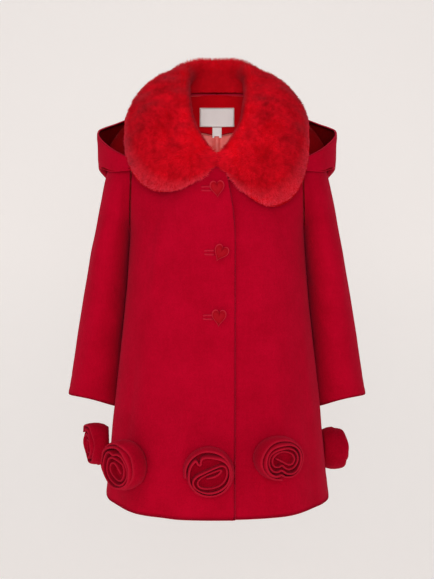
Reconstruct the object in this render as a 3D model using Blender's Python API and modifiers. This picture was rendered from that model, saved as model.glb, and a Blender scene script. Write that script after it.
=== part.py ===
"""A child's hooded felt coat with a fur collar, heart buttons and rolled roses at the hem.

It is worn, with no wearer: hollow, open at the neck, hem and cuffs. Lengths in the tables are in
millimetres, +X is the wearer's left, -Y the front and +Z up. The origin is at the middle of the
neck's base, where the wearer's shoulders hold the coat.
"""
import math
from collections import namedtuple

import bmesh
import bpy
from mathutils import Matrix, Vector
from mathutils.bvhtree import BVHTree

MM = 0.001

# Cloth and seams
FELT = 2.4
LINING = 1.2
HOOD_WALL = 2.6
LABEL_WALL = 1.0
SEAM = 0.3
SEAM_AT_BEND = 1.0
SHOULDER_GAP = 2.0

# The body's heights and edges
HEM_Z = -542.0
ARMPIT_Z = -180.0
ROUND = 2.0 / 2.25
OVERLAP = 24.0
OVERLAP_AT_NECK = 0.07
OVERLAP_LIFT = FELT + 0.7
YOKE_LIFT = 3.6
LIFT_START = -80.0
LIFT_END = -30.0

# How finely each piece is divided
FRONT_COLUMNS = 12
BACK_COLUMNS = 20
SKIRT_ROWS = 11
YOKE_ROWS = 8
YOKE_CROWD = 1.4
SLEEVE_SIDES = 24
CAP_ROWS = 6
SLEEVE_ROWS = 6
COLLAR_STATIONS = 34
COLLAR_PROFILE = 9
HOOD_STATIONS = 13
HOOD_PROFILE = 11

# One row for each height: half the width, and the depth in front of and behind the side seams
BodyRow = namedtuple("BodyRow", "z half_width front back fold")
BODY = (
    BodyRow(-550.0, 151.5, 113.0, 106.0, 3.4),
    BodyRow(-420.0, 139.0, 104.0, 99.0, 2.4),
    BodyRow(-300.0, 126.0, 95.0, 91.0, 1.1),
    BodyRow(-235.0, 120.0, 90.0, 87.0, 0.4),
    BodyRow(ARMPIT_Z, 116.5, 86.0, 83.0, 0.0),
)

# Soft folds that run up from the hem: degrees round from the centre front, width and height
Fold = namedtuple("Fold", "turn width height")
FOLDS = (
    Fold(-158.0, 11.0, 1.0),
    Fold(-124.0, 13.0, -0.8),
    Fold(-96.0, 9.0, 0.7),
    Fold(-62.0, 10.0, -0.9),
    Fold(-38.0, 9.0, 0.8),
    Fold(-18.0, 7.0, 0.7),
    Fold(34.0, 10.0, 0.9),
    Fold(58.0, 9.0, -0.8),
    Fold(88.0, 9.0, 0.8),
    Fold(118.0, 12.0, -0.9),
    Fold(146.0, 11.0, 0.9),
    Fold(178.0, 13.0, -0.7),
)

# Where the hem is caught up a little, in the same degrees
HEM_RISES = (
    Fold(-95.0, 45.0, 7.0),
    Fold(75.0, 35.0, 3.0),
)

# The neck seam from the centre front, share 0, over the neck's side, 0.5, to the centre back, 1.
# Here and below, a row past 1 repeats one from the other side, to keep the centre back smooth.
NeckRow = namedtuple("NeckRow", "share x y z")
NECK_SIDE = 0.5
NECK = (
    NeckRow(0.00, 0.0, -80.0, -84.0),
    NeckRow(0.12, 17.0, -77.0, -77.0),
    NeckRow(0.25, 33.0, -63.0, -58.0),
    NeckRow(0.38, 45.0, -36.0, -27.0),
    NeckRow(0.50, 52.0, 4.0, 3.0),
    NeckRow(0.65, 45.0, 37.0, 7.0),
    NeckRow(0.80, 28.0, 56.0, 9.0),
    NeckRow(0.90, 14.5, 61.0, 9.5),
    NeckRow(1.00, 0.0, 62.0, 9.5),
    NeckRow(1.10, -14.5, 61.0, 9.5),
)
SHOULDER_X = 110.0
SHOULDER_Y = 6.0
SHOULDER_Z = -36.0
SHOULDER_BOW = 4.0

# How a front or the back leaves the armpit's level and arrives at its top edge, from its middle
# edge, across 0, to the armhole, across 1
Pull = namedtuple("Pull", "across leave_x leave_y leave_z arrive_y arrive_z")
FRONT_NECK_SHARE = 0.5
FRONT_PULLS = (
    Pull(0.0, 0.0, 0.0, 30.0, -3.0, -28.0),
    Pull(0.2, 0.0, 0.0, 32.0, -5.0, -27.0),
    Pull(0.5, -5.0, -2.0, 70.0, -40.0, -15.0),
    Pull(0.8, -4.0, -26.0, 54.0, -42.0, -9.0),
    Pull(1.0, -3.0, -54.0, 32.0, -44.0, -8.0),
)
BACK_NECK_SHARE = 0.4
SEAM_SHARE = 0.001
BACK_PULLS = (
    Pull(0.0, 0.0, 2.0, 70.0, 9.0, -30.0),
    Pull(0.4, -4.0, 2.0, 72.0, 30.0, -7.0),
    Pull(0.75, -4.0, 26.0, 54.0, 44.0, -7.0),
    Pull(1.0, -3.0, 58.0, 32.0, 50.0, -8.0),
)

# A sleeve below its cap: its middle, half its width and depth, and how far its outer edge rises
SleeveRow = namedtuple("SleeveRow", "z x y half_width half_depth rise")
SLEEVE = (
    SleeveRow(-406.0, 171.5, 33.0, 34.5, 35.0, 8.5),
    SleeveRow(-340.0, 163.0, 25.0, 31.5, 41.0, 4.0),
    SleeveRow(-270.0, 154.0, 16.0, 28.0, 46.0, 1.5),
    SleeveRow(-205.0, 145.5, 8.0, 24.5, 50.0, 0.0),
)
CAP_TOP_REACH = 29.0
CAP_FOLD_REACH = 4.0

# The collar's backing cloth: the roll, the middle of the fall and its outer edge, by neck share
Place = namedtuple("Place", "share x y z")
COLLAR_START = 0.025
COLLAR_RISE = 2.0
COLLAR_ROLL = (
    Place(0.00, 3.0, -87.0, -81.0),
    Place(0.14, 20.0, -89.0, -64.0),
    Place(0.25, 35.0, -76.0, -42.0),
    Place(0.38, 45.0, -46.0, -6.0),
    Place(0.50, 47.0, 2.0, 26.0),
    Place(0.65, 42.0, 39.0, 40.0),
    Place(0.80, 27.0, 58.0, 45.0),
    Place(0.90, 14.0, 63.0, 46.0),
    Place(1.00, 0.0, 64.0, 46.0),
    Place(1.10, -14.0, 63.0, 46.0),
)
COLLAR_FALL = (
    Place(0.00, 6.0, -92.0, -87.0),
    Place(0.14, 34.0, -97.0, -88.0),
    Place(0.25, 62.0, -92.0, -80.0),
    Place(0.38, 79.0, -64.0, -40.0),
    Place(0.50, 80.0, 0.0, -3.0),
    Place(0.65, 70.0, 57.0, 6.0),
    Place(0.80, 45.0, 88.0, 7.0),
    Place(0.90, 23.0, 97.0, 7.0),
    Place(1.00, 0.0, 99.0, 6.0),
    Place(1.10, -23.0, 97.0, 7.0),
)
COLLAR_EDGE = (
    Place(0.00, 7.0, -88.0, -91.0),
    Place(0.08, 23.0, -92.0, -107.0),
    Place(0.16, 45.0, -92.0, -120.0),
    Place(0.24, 71.0, -88.0, -124.0),
    Place(0.32, 92.0, -72.0, -113.0),
    Place(0.41, 103.0, -44.0, -82.0),
    Place(0.50, 104.0, -4.0, -44.0),
    Place(0.65, 100.0, 60.0, -42.0),
    Place(0.80, 66.0, 99.0, -54.0),
    Place(0.90, 33.0, 110.0, -60.0),
    Place(1.00, 0.0, 113.0, -62.0),
    Place(1.10, -33.0, 110.0, -60.0),
)
Pile = namedtuple("Pile", "share fur left_drop")
COLLAR_PILE = (
    Pile(0.00, 6.0, 0.0),
    Pile(0.08, 11.0, 4.0),
    Pile(0.16, 15.0, 14.0),
    Pile(0.24, 16.0, 19.0),
    Pile(0.32, 16.0, 17.0),
    Pile(0.41, 16.0, 8.0),
    Pile(0.50, 16.0, 0.0),
    Pile(1.00, 16.0, 0.0),
)
Depth = namedtuple("Depth", "along full")
FUR_PROFILE = (
    Depth(0.00, 0.14),
    Depth(0.15, 0.66),
    Depth(0.35, 1.00),
    Depth(0.75, 1.00),
    Depth(0.90, 0.80),
    Depth(1.00, 0.35),
)

# The hood, thrown back: where it lies on the body, its lowest line, its outside and its face edge
HOOD_START = 0.13
HOOD_LIE = (
    Place(0.12, 24.0, -80.0, -81.0),
    Place(0.25, 58.0, -64.0, -66.0),
    Place(0.38, 84.0, -36.0, -44.0),
    Place(0.50, 94.0, 4.0, -20.0),
    Place(0.65, 84.0, 60.0, -26.0),
    Place(0.80, 50.0, 84.0, -42.0),
    Place(1.00, 0.0, 89.0, -50.0),
    Place(1.20, -50.0, 84.0, -42.0),
)
HOOD_BOTTOM = (
    Place(0.12, 29.0, -82.0, -83.0),
    Place(0.25, 80.0, -60.0, -84.0),
    Place(0.38, 115.0, -36.0, -84.0),
    Place(0.50, 138.0, 4.0, -74.0),
    Place(0.65, 128.0, 70.0, -114.0),
    Place(0.80, 76.0, 100.0, -158.0),
    Place(1.00, 0.0, 106.0, -174.0),
    Place(1.20, -76.0, 100.0, -158.0),
)
HOOD_SIDE = (
    Place(0.12, 33.0, -84.0, -83.0),
    Place(0.25, 92.0, -58.0, -90.0),
    Place(0.38, 134.0, -38.0, -98.0),
    Place(0.50, 158.0, 6.0, -92.0),
    Place(0.65, 150.0, 80.0, -106.0),
    Place(0.80, 98.0, 128.0, -136.0),
    Place(1.00, 0.0, 143.0, -146.0),
    Place(1.20, -98.0, 128.0, -136.0),
)
HOOD_RIM = (
    Place(0.12, 35.0, -86.0, -80.0),
    Place(0.25, 88.0, -54.0, -85.0),
    Place(0.38, 135.0, -38.0, -69.0),
    Place(0.50, 161.0, 10.0, -46.0),
    Place(0.65, 147.0, 78.0, -31.0),
    Place(0.80, 98.0, 122.0, -15.0),
    Place(1.00, 0.0, 138.0, -20.0),
    Place(1.20, -98.0, 122.0, -15.0),
)
HOOD_LIFT = 1.6
COLLAR_LIFT = 2.8
EDGE_REACH = 4.0
CLEAR_PASSES = 3
DRAPE_REACH = 24.0
DRAPE_PASSES = 2
COLLAR_DRAPES = 2

# What shows inside the neck: rows of the back's yoke counted from the armpit, and columns from
# the centre back
INSIDE_GAP = 1.2
FACING_WALL = 1.5
FACING_ROWS = (4, 8)
FACING_COLUMNS = 4
LINING_ROWS = (1, 4)
LINING_COLUMNS = 5
LABEL_WIDTH = 48.0
LABEL_TOP_Z = -9.0
LABEL_BOTTOM_Z = -35.0
LABEL_LIFT = 1.0
TAB_WIDTH = 13.0
TAB_BOTTOM_Z = -50.0

# Heart buttons on the upper front, from the top one down, and how far each is turned
Button = namedtuple("Button", "name x z turn")
BUTTONS = (
    Button("button_1", 0.4, -121.0, -4.0),
    Button("button_2", 4.2, -202.0, 26.0),
    Button("button_3", 2.4, -284.0, 3.0),
)
HEART_WIDTH = 18.6
HEART_HEIGHT = 22.4
HEART_STEPS = 20
# Rings of the button from its shank to its middle: share of the outline, and height
Ring = namedtuple("Ring", "share height")
HEART_RINGS = (
    Ring(0.20, 0.0),
    Ring(0.20, 1.6),
    Ring(0.88, 1.6),
    Ring(1.00, 2.8),
    Ring(1.00, 4.4),
    Ring(0.90, 5.6),
    Ring(0.78, 5.6),
    Ring(0.64, 4.4),
)

# Rolled roses near the hem: a place near the base, the way the face looks in degrees round from
# the front, how far the roll is spun, its turns, and its height as a share of its width
Rose = namedtuple("Rose", "name x y z look spin turns squash")
ROSES = (
    Rose("rose_1", -146.0, 26.0, -473.0, -86.0, 40.0, 3.3, 1.00),
    Rose("rose_2", -105.0, -80.0, -473.0, -44.0, 200.0, 3.3, 1.00),
    Rose("rose_3", -11.0, -112.0, -474.0, 0.0, 310.0, 3.2, 1.00),
    Rose("rose_4", 70.0, -102.0, -459.0, 20.0, 120.0, 3.2, 0.88),
    Rose("rose_5", 146.0, 30.0, -479.0, 100.0, 10.0, 3.3, 1.00),
)
ROSE_RADIUS = 32.5
ROSE_HEIGHT = 36.0
ROSE_WALL = 3.8
ROSE_CORE = 5.5
ROSE_STEPS = 15
ROSE_BASE = 3.0
ROSE_BASE_RADIUS = 25.0
ROSE_BASE_SINK = 1.2

RED = (0.40, 0.004, 0.018)
FUR_RED = (0.50, 0.006, 0.018)
CORAL = (0.78, 0.13, 0.11)
OFF_WHITE = (0.80, 0.76, 0.72)


def ease(value):
    """0 to 1, level at both ends."""
    value = min(max(value, 0.0), 1.0)
    return value * value * (3.0 - 2.0 * value)


def lerp(start, end, share):
    return start + (end - start) * share


def read(rows, at):
    """A table's row at a value of its first column, each column on a smooth curve."""
    if at <= rows[0][0]:
        return rows[0]
    if at >= rows[-1][0]:
        return rows[-1]
    last = len(rows) - 1
    low = max(i for i in range(last) if rows[i][0] <= at)
    span = rows[low + 1][0] - rows[low][0]
    f = (at - rows[low][0]) / span
    values = []
    for column in range(len(rows[0])):
        slopes = []
        for here in (low, low + 1):
            before, after = rows[max(here - 1, 0)], rows[min(here + 1, last)]
            slopes.append((after[column] - before[column]) / (after[0] - before[0]) * span)
        start, end = rows[low][column], rows[low + 1][column]
        values.append(
            start * (2 * f ** 3 - 3 * f ** 2 + 1) + slopes[0] * (f ** 3 - 2 * f ** 2 + f)
            + end * (3 * f ** 2 - 2 * f ** 3) + slopes[1] * (f ** 3 - f ** 2)
        )
    return type(rows[0])(*values)


def bezier(a, b, c, d, t):
    s = 1.0 - t
    return a * s ** 3 + b * (3 * s * s * t) + c * (3 * s * t * t) + d * t ** 3


def curve_through(points, share):
    """Point on the smooth curve through the points, which are spaced evenly along share."""
    last = len(points) - 1
    at = min(max(share, 0.0), 1.0) * last
    k = min(int(at), last - 1)
    f = at - k
    a, b = points[k], points[k + 1]
    before = points[k - 1] if k > 0 else a * 2 - b
    after = points[k + 2] if k + 2 <= last else b * 2 - a
    return (
        a * 2 + (b - before) * f + (before * 2 - a * 5 + b * 4 - after) * f ** 2
        + (a * 3 - before - b * 3 + after) * f ** 3
    ) * 0.5


def sided(row, side):
    """A table's place as a point, on the wearer's right for side -1 and left for side 1."""
    return Vector((row.x * side, row.y, row.z))


# The body's outer face

def swell(folds, turn):
    """The sum of soft bumps at an angle round the body."""
    total = 0.0
    for fold in folds:
        away = abs((turn - fold.turn + 180.0) % 360.0 - 180.0)
        total += fold.height * math.exp(-(away / fold.width) ** 2)
    return total


def body_point(turn, z):
    """Outer face below the armpits; turn is in degrees from the centre front, + to the left."""
    row = read(BODY, z)
    angle = math.radians(abs(turn))
    x = row.half_width * math.sin(angle) ** ROUND
    y = abs(math.cos(angle)) ** ROUND
    y *= -row.front if abs(turn) < 90.0 else row.back
    outward = Vector((math.copysign(x, turn), y, 0.0))
    point = outward + outward.normalized() * row.fold * swell(FOLDS, turn)
    point.z = z
    return point


def hem_height(turn):
    return HEM_Z + swell(HEM_RISES, turn)


def neck_point(share):
    """The neck seam; a share below 0 is past the centre front, on the other side."""
    row = read(NECK, abs(share))
    return Vector((math.copysign(row.x, share), row.y, row.z))


def shoulder_point(share, side):
    """The shoulder seam from the neck, 0, to the armhole, 1."""
    start = sided(read(NECK, NECK_SIDE), side)
    end = Vector((SHOULDER_X * side, SHOULDER_Y, SHOULDER_Z))
    point = lerp(start, end, share)
    point.z += SHOULDER_BOW * math.sin(math.pi * share)
    return point


def front_point(side, across, up):
    """Outer face of a front: across 0 is its edge and 1 the side seam and armhole; up 0 is the
    hem, 1 the armpits' level and 2 the neck and shoulder seams."""
    z = lerp(HEM_Z, ARMPIT_Z, min(up, 1.0))
    edge = math.degrees(math.asin((OVERLAP / read(BODY, z).half_width) ** (1.0 / ROUND)))
    turn = lerp(-edge, 90.0, across) * side
    point = body_point(turn, lerp(hem_height(turn), ARMPIT_Z, min(up, 1.0)))
    point.y = min(point.y, -SEAM_AT_BEND / 2)
    if up > 1.0:
        if across < FRONT_NECK_SHARE:
            share = lerp(-OVERLAP_AT_NECK, NECK_SIDE, across / FRONT_NECK_SHARE)
            top = neck_point(share)
            top.x *= side
        else:
            top = shoulder_point((across - FRONT_NECK_SHARE) / (1.0 - FRONT_NECK_SHARE), side)
            top.y -= SHOULDER_GAP / 2
        pull = read(FRONT_PULLS, across)
        leave = point + Vector((pull.leave_x * side, pull.leave_y, pull.leave_z))
        arrive = top + Vector((0.0, pull.arrive_y, pull.arrive_z))
        arrive.x = lerp(top.x, point.x, 0.35 * (1.0 - across))
        point = bezier(point, leave, arrive, top, up - 1.0)
    if side < 0:
        lift = OVERLAP_LIFT + YOKE_LIFT * ease(2.0 * (up - 1.0))
        point.y -= lift * ease((point.x - LIFT_START) / (LIFT_END - LIFT_START))
    return point


def back_point(across, up):
    """Outer face of the back: across runs from -1 at the right side seam to 1 at the left."""
    side = math.copysign(1.0, across)
    share = abs(across)
    turn = (180.0 - 90.0 * share) * side
    point = body_point(turn, lerp(hem_height(turn), ARMPIT_Z, min(up, 1.0)))
    point.y = max(point.y, SEAM_AT_BEND / 2)
    if up > 1.0:
        if share < BACK_NECK_SHARE - SEAM_SHARE:
            top = neck_point(lerp(1.0, NECK_SIDE, share / BACK_NECK_SHARE) * side)
        else:
            top = shoulder_point((share - BACK_NECK_SHARE) / (1.0 - BACK_NECK_SHARE), side)
            top.y += SHOULDER_GAP / 2
        pull = read(BACK_PULLS, share)
        leave = point + Vector((pull.leave_x * side, pull.leave_y, pull.leave_z))
        arrive = top + Vector((0.0, pull.arrive_y, pull.arrive_z))
        point = bezier(point, leave, arrive, top, up - 1.0)
    return point


def armhole_point(side, round_share):
    """Round the armhole: 0 at the armpit, up the front to 0.5 at the shoulder, down the back."""
    if round_share <= 0.5:
        return front_point(side, 1.0, 1.0 + 2.0 * round_share)
    return back_point(side * 1.0, 3.0 - 2.0 * round_share)


def sleeve_ring(side, z, round_share):
    """A ring of the sleeve: 0 on its inner side, 0.25 in front, 0.5 outside, 0.75 behind."""
    row = read(SLEEVE, z)
    angle = 2.0 * math.pi * round_share
    x = row.x - row.half_width * math.cos(angle)
    y = row.y - row.half_depth * math.sin(angle)
    return Vector((x * side, y, row.z - row.rise * math.cos(angle)))


def sleeve_point(side, round_share, down):
    """Outer face of a sleeve: down 0 is the armhole, 1 the cap's foot and 2 the cuff."""
    low, high = SLEEVE[0].z, SLEEVE[-1].z
    if down > 1.0:
        return sleeve_ring(side, lerp(high, low, down - 1.0), round_share)
    start = armhole_point(side, round_share) + Vector((side * SEAM_AT_BEND, 0.0, 0.0))
    end = sleeve_ring(side, high, round_share)
    angle = 2.0 * math.pi * round_share
    outer = 0.5 - 0.5 * math.cos(angle)
    fore = math.sin(angle)
    leave = start + Vector((
        side * (CAP_FOLD_REACH + CAP_TOP_REACH * outer),
        -6.0 * fore,
        -(5.0 + 5.0 * outer + 8.0 * fore * fore),
    ))
    arrive = end + Vector((-side * 13.0 * outer, -2.0 * fore, 10.0 + 52.0 * outer))
    return bezier(start, leave, arrive, end, down)


# The hood's and the collar's faces, before they are cleared of what they lie on

def hood_point(side, share, along):
    """The hood's outer face, from the neck seam, along 0, to the face edge, along 1."""
    neck = neck_point(share * side)
    outward = Vector((neck.x, neck.y, 0.0)).normalized()
    knots = [neck + outward * 1.2 + Vector((0.0, 0.0, 0.4))]
    knots += [sided(read(table, share), side) for table in (HOOD_LIE, HOOD_BOTTOM, HOOD_SIDE, HOOD_RIM)]
    return curve_through(knots, along)


def collar_point(share, along):
    """The collar's backing, from the neck seam over the roll to the outer edge of the fall."""
    side = math.copysign(1.0, share)
    place = abs(share)
    drop = read(COLLAR_PILE, place).left_drop if side > 0 else 0.0
    neck = neck_point(share) + Vector((0.0, 0.0, COLLAR_RISE))
    roll = sided(read(COLLAR_ROLL, place), side)
    fall = sided(read(COLLAR_FALL, place), side) - Vector((0.0, 0.0, 0.4 * drop))
    edge = sided(read(COLLAR_EDGE, place), side) - Vector((0.0, 0.0, drop))
    stand = lerp(neck, roll, 0.55)
    return curve_through([neck, stand, roll, lerp(roll, fall, 0.5) + Vector((0.0, 0.0, 4.0)), fall, edge], along)


# Meshes

def material(name, colour, roughness):
    made = bpy.data.materials.new(name)
    made.use_nodes = True
    shader = made.node_tree.nodes["Principled BSDF"]
    shader.inputs["Base Color"].default_value = (*colour, 1.0)
    shader.inputs["Roughness"].default_value = roughness
    shader.inputs["Metallic"].default_value = 0.0
    return made


def grid(count_rows, count_columns, point, closed=False):
    """Points of a sheet, one list for each row; point takes the row's and column's shares."""
    columns = count_columns if closed else count_columns + 1
    return [
        [point(i / count_rows, j / count_columns) for j in range(columns)]
        for i in range(count_rows + 1)
    ]


def sheet_mesh(name, rows, closed, flip):
    """An open sheet; its faces look away from its wall's inner side."""
    mesh = bpy.data.meshes.new(name)
    made = bmesh.new()
    verts = [[made.verts.new(point * MM) for point in row] for row in rows]
    columns = len(rows[0])
    for i in range(len(rows) - 1):
        for j in range(columns if closed else columns - 1):
            k = (j + 1) % columns
            face = [verts[i][j], verts[i][k], verts[i + 1][k], verts[i + 1][j]]
            if flip:
                face.reverse()
            made.faces.new(face)
    made.to_mesh(mesh)
    made.free()
    mesh.shade_smooth()
    return mesh


def add(mesh, look, collection):
    made = bpy.data.objects.new(mesh.name, mesh)
    mesh.materials.append(look)
    collection.objects.link(made)
    return made


def cloth(name, rows, wall, look, collection, closed=False, flip=False):
    """A sheet with a wall on the side that its faces look away from."""
    made = add(sheet_mesh(name, rows, closed, flip), look, collection)
    solid = made.modifiers.new("Wall", "SOLIDIFY")
    solid.thickness = wall * MM
    solid.offset = -1.0
    solid.use_even_offset = False
    return made


def faces_of(objects):
    """A search tree over open sheets, in metres."""
    points, faces = [], []
    for made in objects:
        start = len(points)
        points += [vertex.co.copy() for vertex in made.data.vertices]
        faces += [[start + index for index in face.vertices] for face in made.data.polygons]
    return BVHTree.FromPolygons(points, faces)


def around(rows, i, j):
    """A grid's vertex, and the points halfway to each of its neighbours."""
    low_i, high_i = max(i - 1, 0), min(i + 1, len(rows) - 1)
    low_j, high_j = max(j - 1, 0), min(j + 1, len(rows[0]) - 1)
    here = rows[i][j]
    return [(here + rows[a][b]) / 2 for a in (low_i, i, high_i) for b in (low_j, j, high_j)]


def cleared(rows, tree, lift):
    """The rows, moved out to at least lift from the sheets that they lie on. A point that is past
    a sheet's edge stays."""
    for _ in range(CLEAR_PASSES):
        moves = []
        for i, row in enumerate(rows):
            for j in range(len(row)):
                move = Vector()
                for point in around(rows, i, j):
                    place, normal, _, _ = tree.find_nearest(point * MM)
                    away = (point * MM - place) / MM
                    height = away.dot(normal)
                    beside = (away - normal * height).length
                    if beside < EDGE_REACH and lift - height > move.length:
                        move = normal * (lift - height)
                moves.append((i, j, move))
        for i, j, move in moves:
            rows[i][j] = rows[i][j] + move
    return rows


def grid_normal(rows, i, j):
    """The side that a grid's faces look to when its rows and columns turn right."""
    last_i, last_j = len(rows) - 1, len(rows[0]) - 1
    down = rows[min(i + 1, last_i)][j] - rows[max(i - 1, 0)][j]
    over = rows[i][min(j + 1, last_j)] - rows[i][max(j - 1, 0)]
    return down.cross(over).normalized()


def draped(rows, tree, lift, first_column):
    """The rows, lifted off the outermost cloth that lies within reach under or over them. The
    lifts are spread over their neighbours, so that the cloth stays smooth."""
    lifts = [[0.0] * len(row) for row in rows]
    normals = [[grid_normal(rows, i, j) for j in range(len(row))] for i, row in enumerate(rows)]
    for i, row in enumerate(rows):
        for j in range(first_column, len(row)):
            for point in around(rows, i, j):
                start = point + normals[i][j] * DRAPE_REACH
                _, _, _, far = tree.ray_cast(start * MM, -normals[i][j], 2.0 * DRAPE_REACH * MM)
                if far is not None:
                    lifts[i][j] = max(lifts[i][j], DRAPE_REACH - far / MM + lift)
    for _ in range(DRAPE_PASSES):
        wide = [list(row) for row in lifts]
        for i in range(len(rows)):
            for j in range(first_column, len(rows[0])):
                near = [
                    lifts[a][b]
                    for a in range(max(i - 1, 0), min(i + 2, len(rows)))
                    for b in range(max(j - 1, first_column), min(j + 2, len(rows[0])))
                ]
                wide[i][j] = max(lifts[i][j], 0.5 * (max(near) + sum(near) / len(near)))
        lifts = wide
    for i, row in enumerate(rows):
        for j in range(first_column, len(row)):
            row[j] = row[j] + normals[i][j] * lifts[i][j]
    return rows


def front(name, side, look, collection):
    def point(up, across):
        return front_point(side, across, up)
    rows = panel_rows(FRONT_COLUMNS, point)
    return cloth(name, rows, FELT, look, collection, flip=side < 0)


def back(look, collection):
    def point(up, across):
        return back_point(2.0 * across - 1.0, up)
    return cloth("back", panel_rows(BACK_COLUMNS, point), FELT, look, collection, flip=True)


def panel_rows(columns, point):
    """Rows of a panel from hem to shoulder, with the skirt's and the yoke's own spacing."""
    ups = [i / SKIRT_ROWS for i in range(SKIRT_ROWS)]
    ups += [yoke_up(i) for i in range(YOKE_ROWS + 1)]
    return [[point(up, j / columns) for j in range(columns + 1)] for up in ups]


def yoke_up(row):
    """How far up a row of the yoke is, from 1 to 2; the rows crowd towards the shoulder seam."""
    return 2.0 - (1.0 - row / YOKE_ROWS) ** YOKE_CROWD


def sleeve(name, side, look, collection):
    downs = [i / CAP_ROWS for i in range(CAP_ROWS)]
    downs += [1.0 + i / SLEEVE_ROWS for i in range(SLEEVE_ROWS + 1)]
    rows = [
        [sleeve_point(side, j / SLEEVE_SIDES, down) for j in range(SLEEVE_SIDES)]
        for down in downs
    ]
    return cloth(name, rows, FELT, look, collection, closed=True, flip=side > 0)


def hood(name, side, look, collection, body_tree):
    def point(along_neck, along):
        return hood_point(side, lerp(HOOD_START, 1.0, along_neck), along)
    rows = cleared(grid(HOOD_STATIONS, HOOD_PROFILE, point), body_tree, HOOD_LIFT)
    for point in rows[-1]:
        point.x = side * SEAM_AT_BEND / 2
    return cloth(name, rows, HOOD_WALL, look, collection, flip=side > 0)


def collar(look, collection, tree):
    def point(along_neck, along):
        if along_neck <= 0.5:
            return collar_point(-lerp(COLLAR_START, 1.0, 2.0 * along_neck), along)
        return collar_point(lerp(1.0, COLLAR_START, 2.0 * along_neck - 1.0), along)
    rows = grid(COLLAR_STATIONS, COLLAR_PROFILE, point)
    for _ in range(COLLAR_DRAPES):
        rows = draped(rows, tree, HOOD_WALL + COLLAR_LIFT, COLLAR_PROFILE // 2 + 1)
    made = add(sheet_mesh("collar", rows, False, True), look, collection)
    pile = made.vertex_groups.new(name="Pile")
    full = max(row.fur for row in COLLAR_PILE)
    for i, row in enumerate(rows):
        end_share = abs(2.0 * i / COLLAR_STATIONS - 1.0)
        fur = read(COLLAR_PILE, 1.0 - end_share).fur
        for j in range(len(row)):
            depth = read(FUR_PROFILE, j / COLLAR_PROFILE).full
            pile.add([i * len(row) + j], fur * depth / full, "REPLACE")
    solid = made.modifiers.new("Fur", "SOLIDIFY")
    solid.thickness = full * MM
    solid.offset = 1.0
    solid.vertex_group = pile.name
    solid.use_even_offset = False
    return made


def inside_back(name, rows, columns, wall, look, collection):
    """A cloth inside the back's yoke: the back's own points, moved in past its wall."""
    def here(row, column):
        up = yoke_up(row)
        across = 2.0 * column / BACK_COLUMNS
        step = 0.01
        along = back_point(across + step, up) - back_point(across - step, up)
        rise = back_point(across, up) - back_point(across, up - step)
        outward = rise.cross(along).normalized()
        return back_point(across, up) - outward * (FELT + INSIDE_GAP)
    low, high = rows
    made = [[here(row, column) for column in range(-columns, columns + 1)] for row in range(low, high)]
    made.append([here(high - 0.02, column) for column in range(-columns, columns + 1)])
    return cloth(name, made, wall, look, collection, flip=True)


def label_piece(name, width, top_z, bottom_z, inset, look, collection):
    """A flat woven piece that hangs inside the back of the neck."""
    def surface_y(z):
        low, high = 1.0, 2.0
        for _ in range(30):
            middle = (low + high) / 2
            if back_point(0.001, middle).z < z:
                low = middle
            else:
                high = middle
        return back_point(0.001, low).y
    def point(up, across):
        z = lerp(bottom_z, top_z, up)
        x = width * (across - 0.5)
        bow = 0.006 * x * x
        return Vector((x, surface_y(z) - inset - bow, z))
    return cloth(name, grid(2, 6, point), LABEL_WALL, look, collection, flip=True)


# Buttons and roses

def heart_outline():
    """The heart's outline, a unit wide and high, point down, anticlockwise from the front."""
    points = []
    for i in range(HEART_STEPS):
        t = -2.0 * math.pi * (i + 0.5) / HEART_STEPS
        x = math.sin(t) ** 3
        y = (13 * math.cos(t) - 5 * math.cos(2 * t) - 2 * math.cos(3 * t) - math.cos(4 * t)) / 16
        points.append(Vector((x / 2, (y + 0.16) / 1.84, 0.0)))
    return points


def button(spec, look, collection, body_tree):
    """A heart with a raised rim, on a short shank."""
    mesh = bpy.data.meshes.new(spec.name)
    made = bmesh.new()
    outline = heart_outline()
    rings = []
    for ring in HEART_RINGS:
        rings.append([
            made.verts.new(Vector((
                point.x * HEART_WIDTH * ring.share,
                -ring.height,
                point.y * HEART_HEIGHT * ring.share,
            )) * MM)
            for point in outline
        ])
    for low, high in zip(rings, rings[1:]):
        for j in range(HEART_STEPS):
            k = (j + 1) % HEART_STEPS
            made.faces.new((low[j], low[k], high[k], high[j]))
    made.faces.new(rings[0][::-1])
    made.faces.new(rings[-1])
    bmesh.ops.triangulate(made, faces=[face for face in made.faces if len(face.verts) > 4])
    bmesh.ops.recalc_face_normals(made, faces=made.faces)
    made.to_mesh(mesh)
    made.free()
    placed = add(mesh, look, collection)
    start = Vector((spec.x, -200.0, spec.z)) * MM
    place, normal, _, _ = body_tree.ray_cast(start, Vector((0.0, 1.0, 0.0)))
    placed.location = place + normal * (SEAM + 0.1) * MM
    lean = math.asin(-normal.z)
    placed.rotation_euler = (lean, math.radians(spec.turn), 0.0)
    return placed


def rose_radius(share):
    return lerp(ROSE_CORE, ROSE_RADIUS - ROSE_WALL / 2, share ** 0.9)


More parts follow.
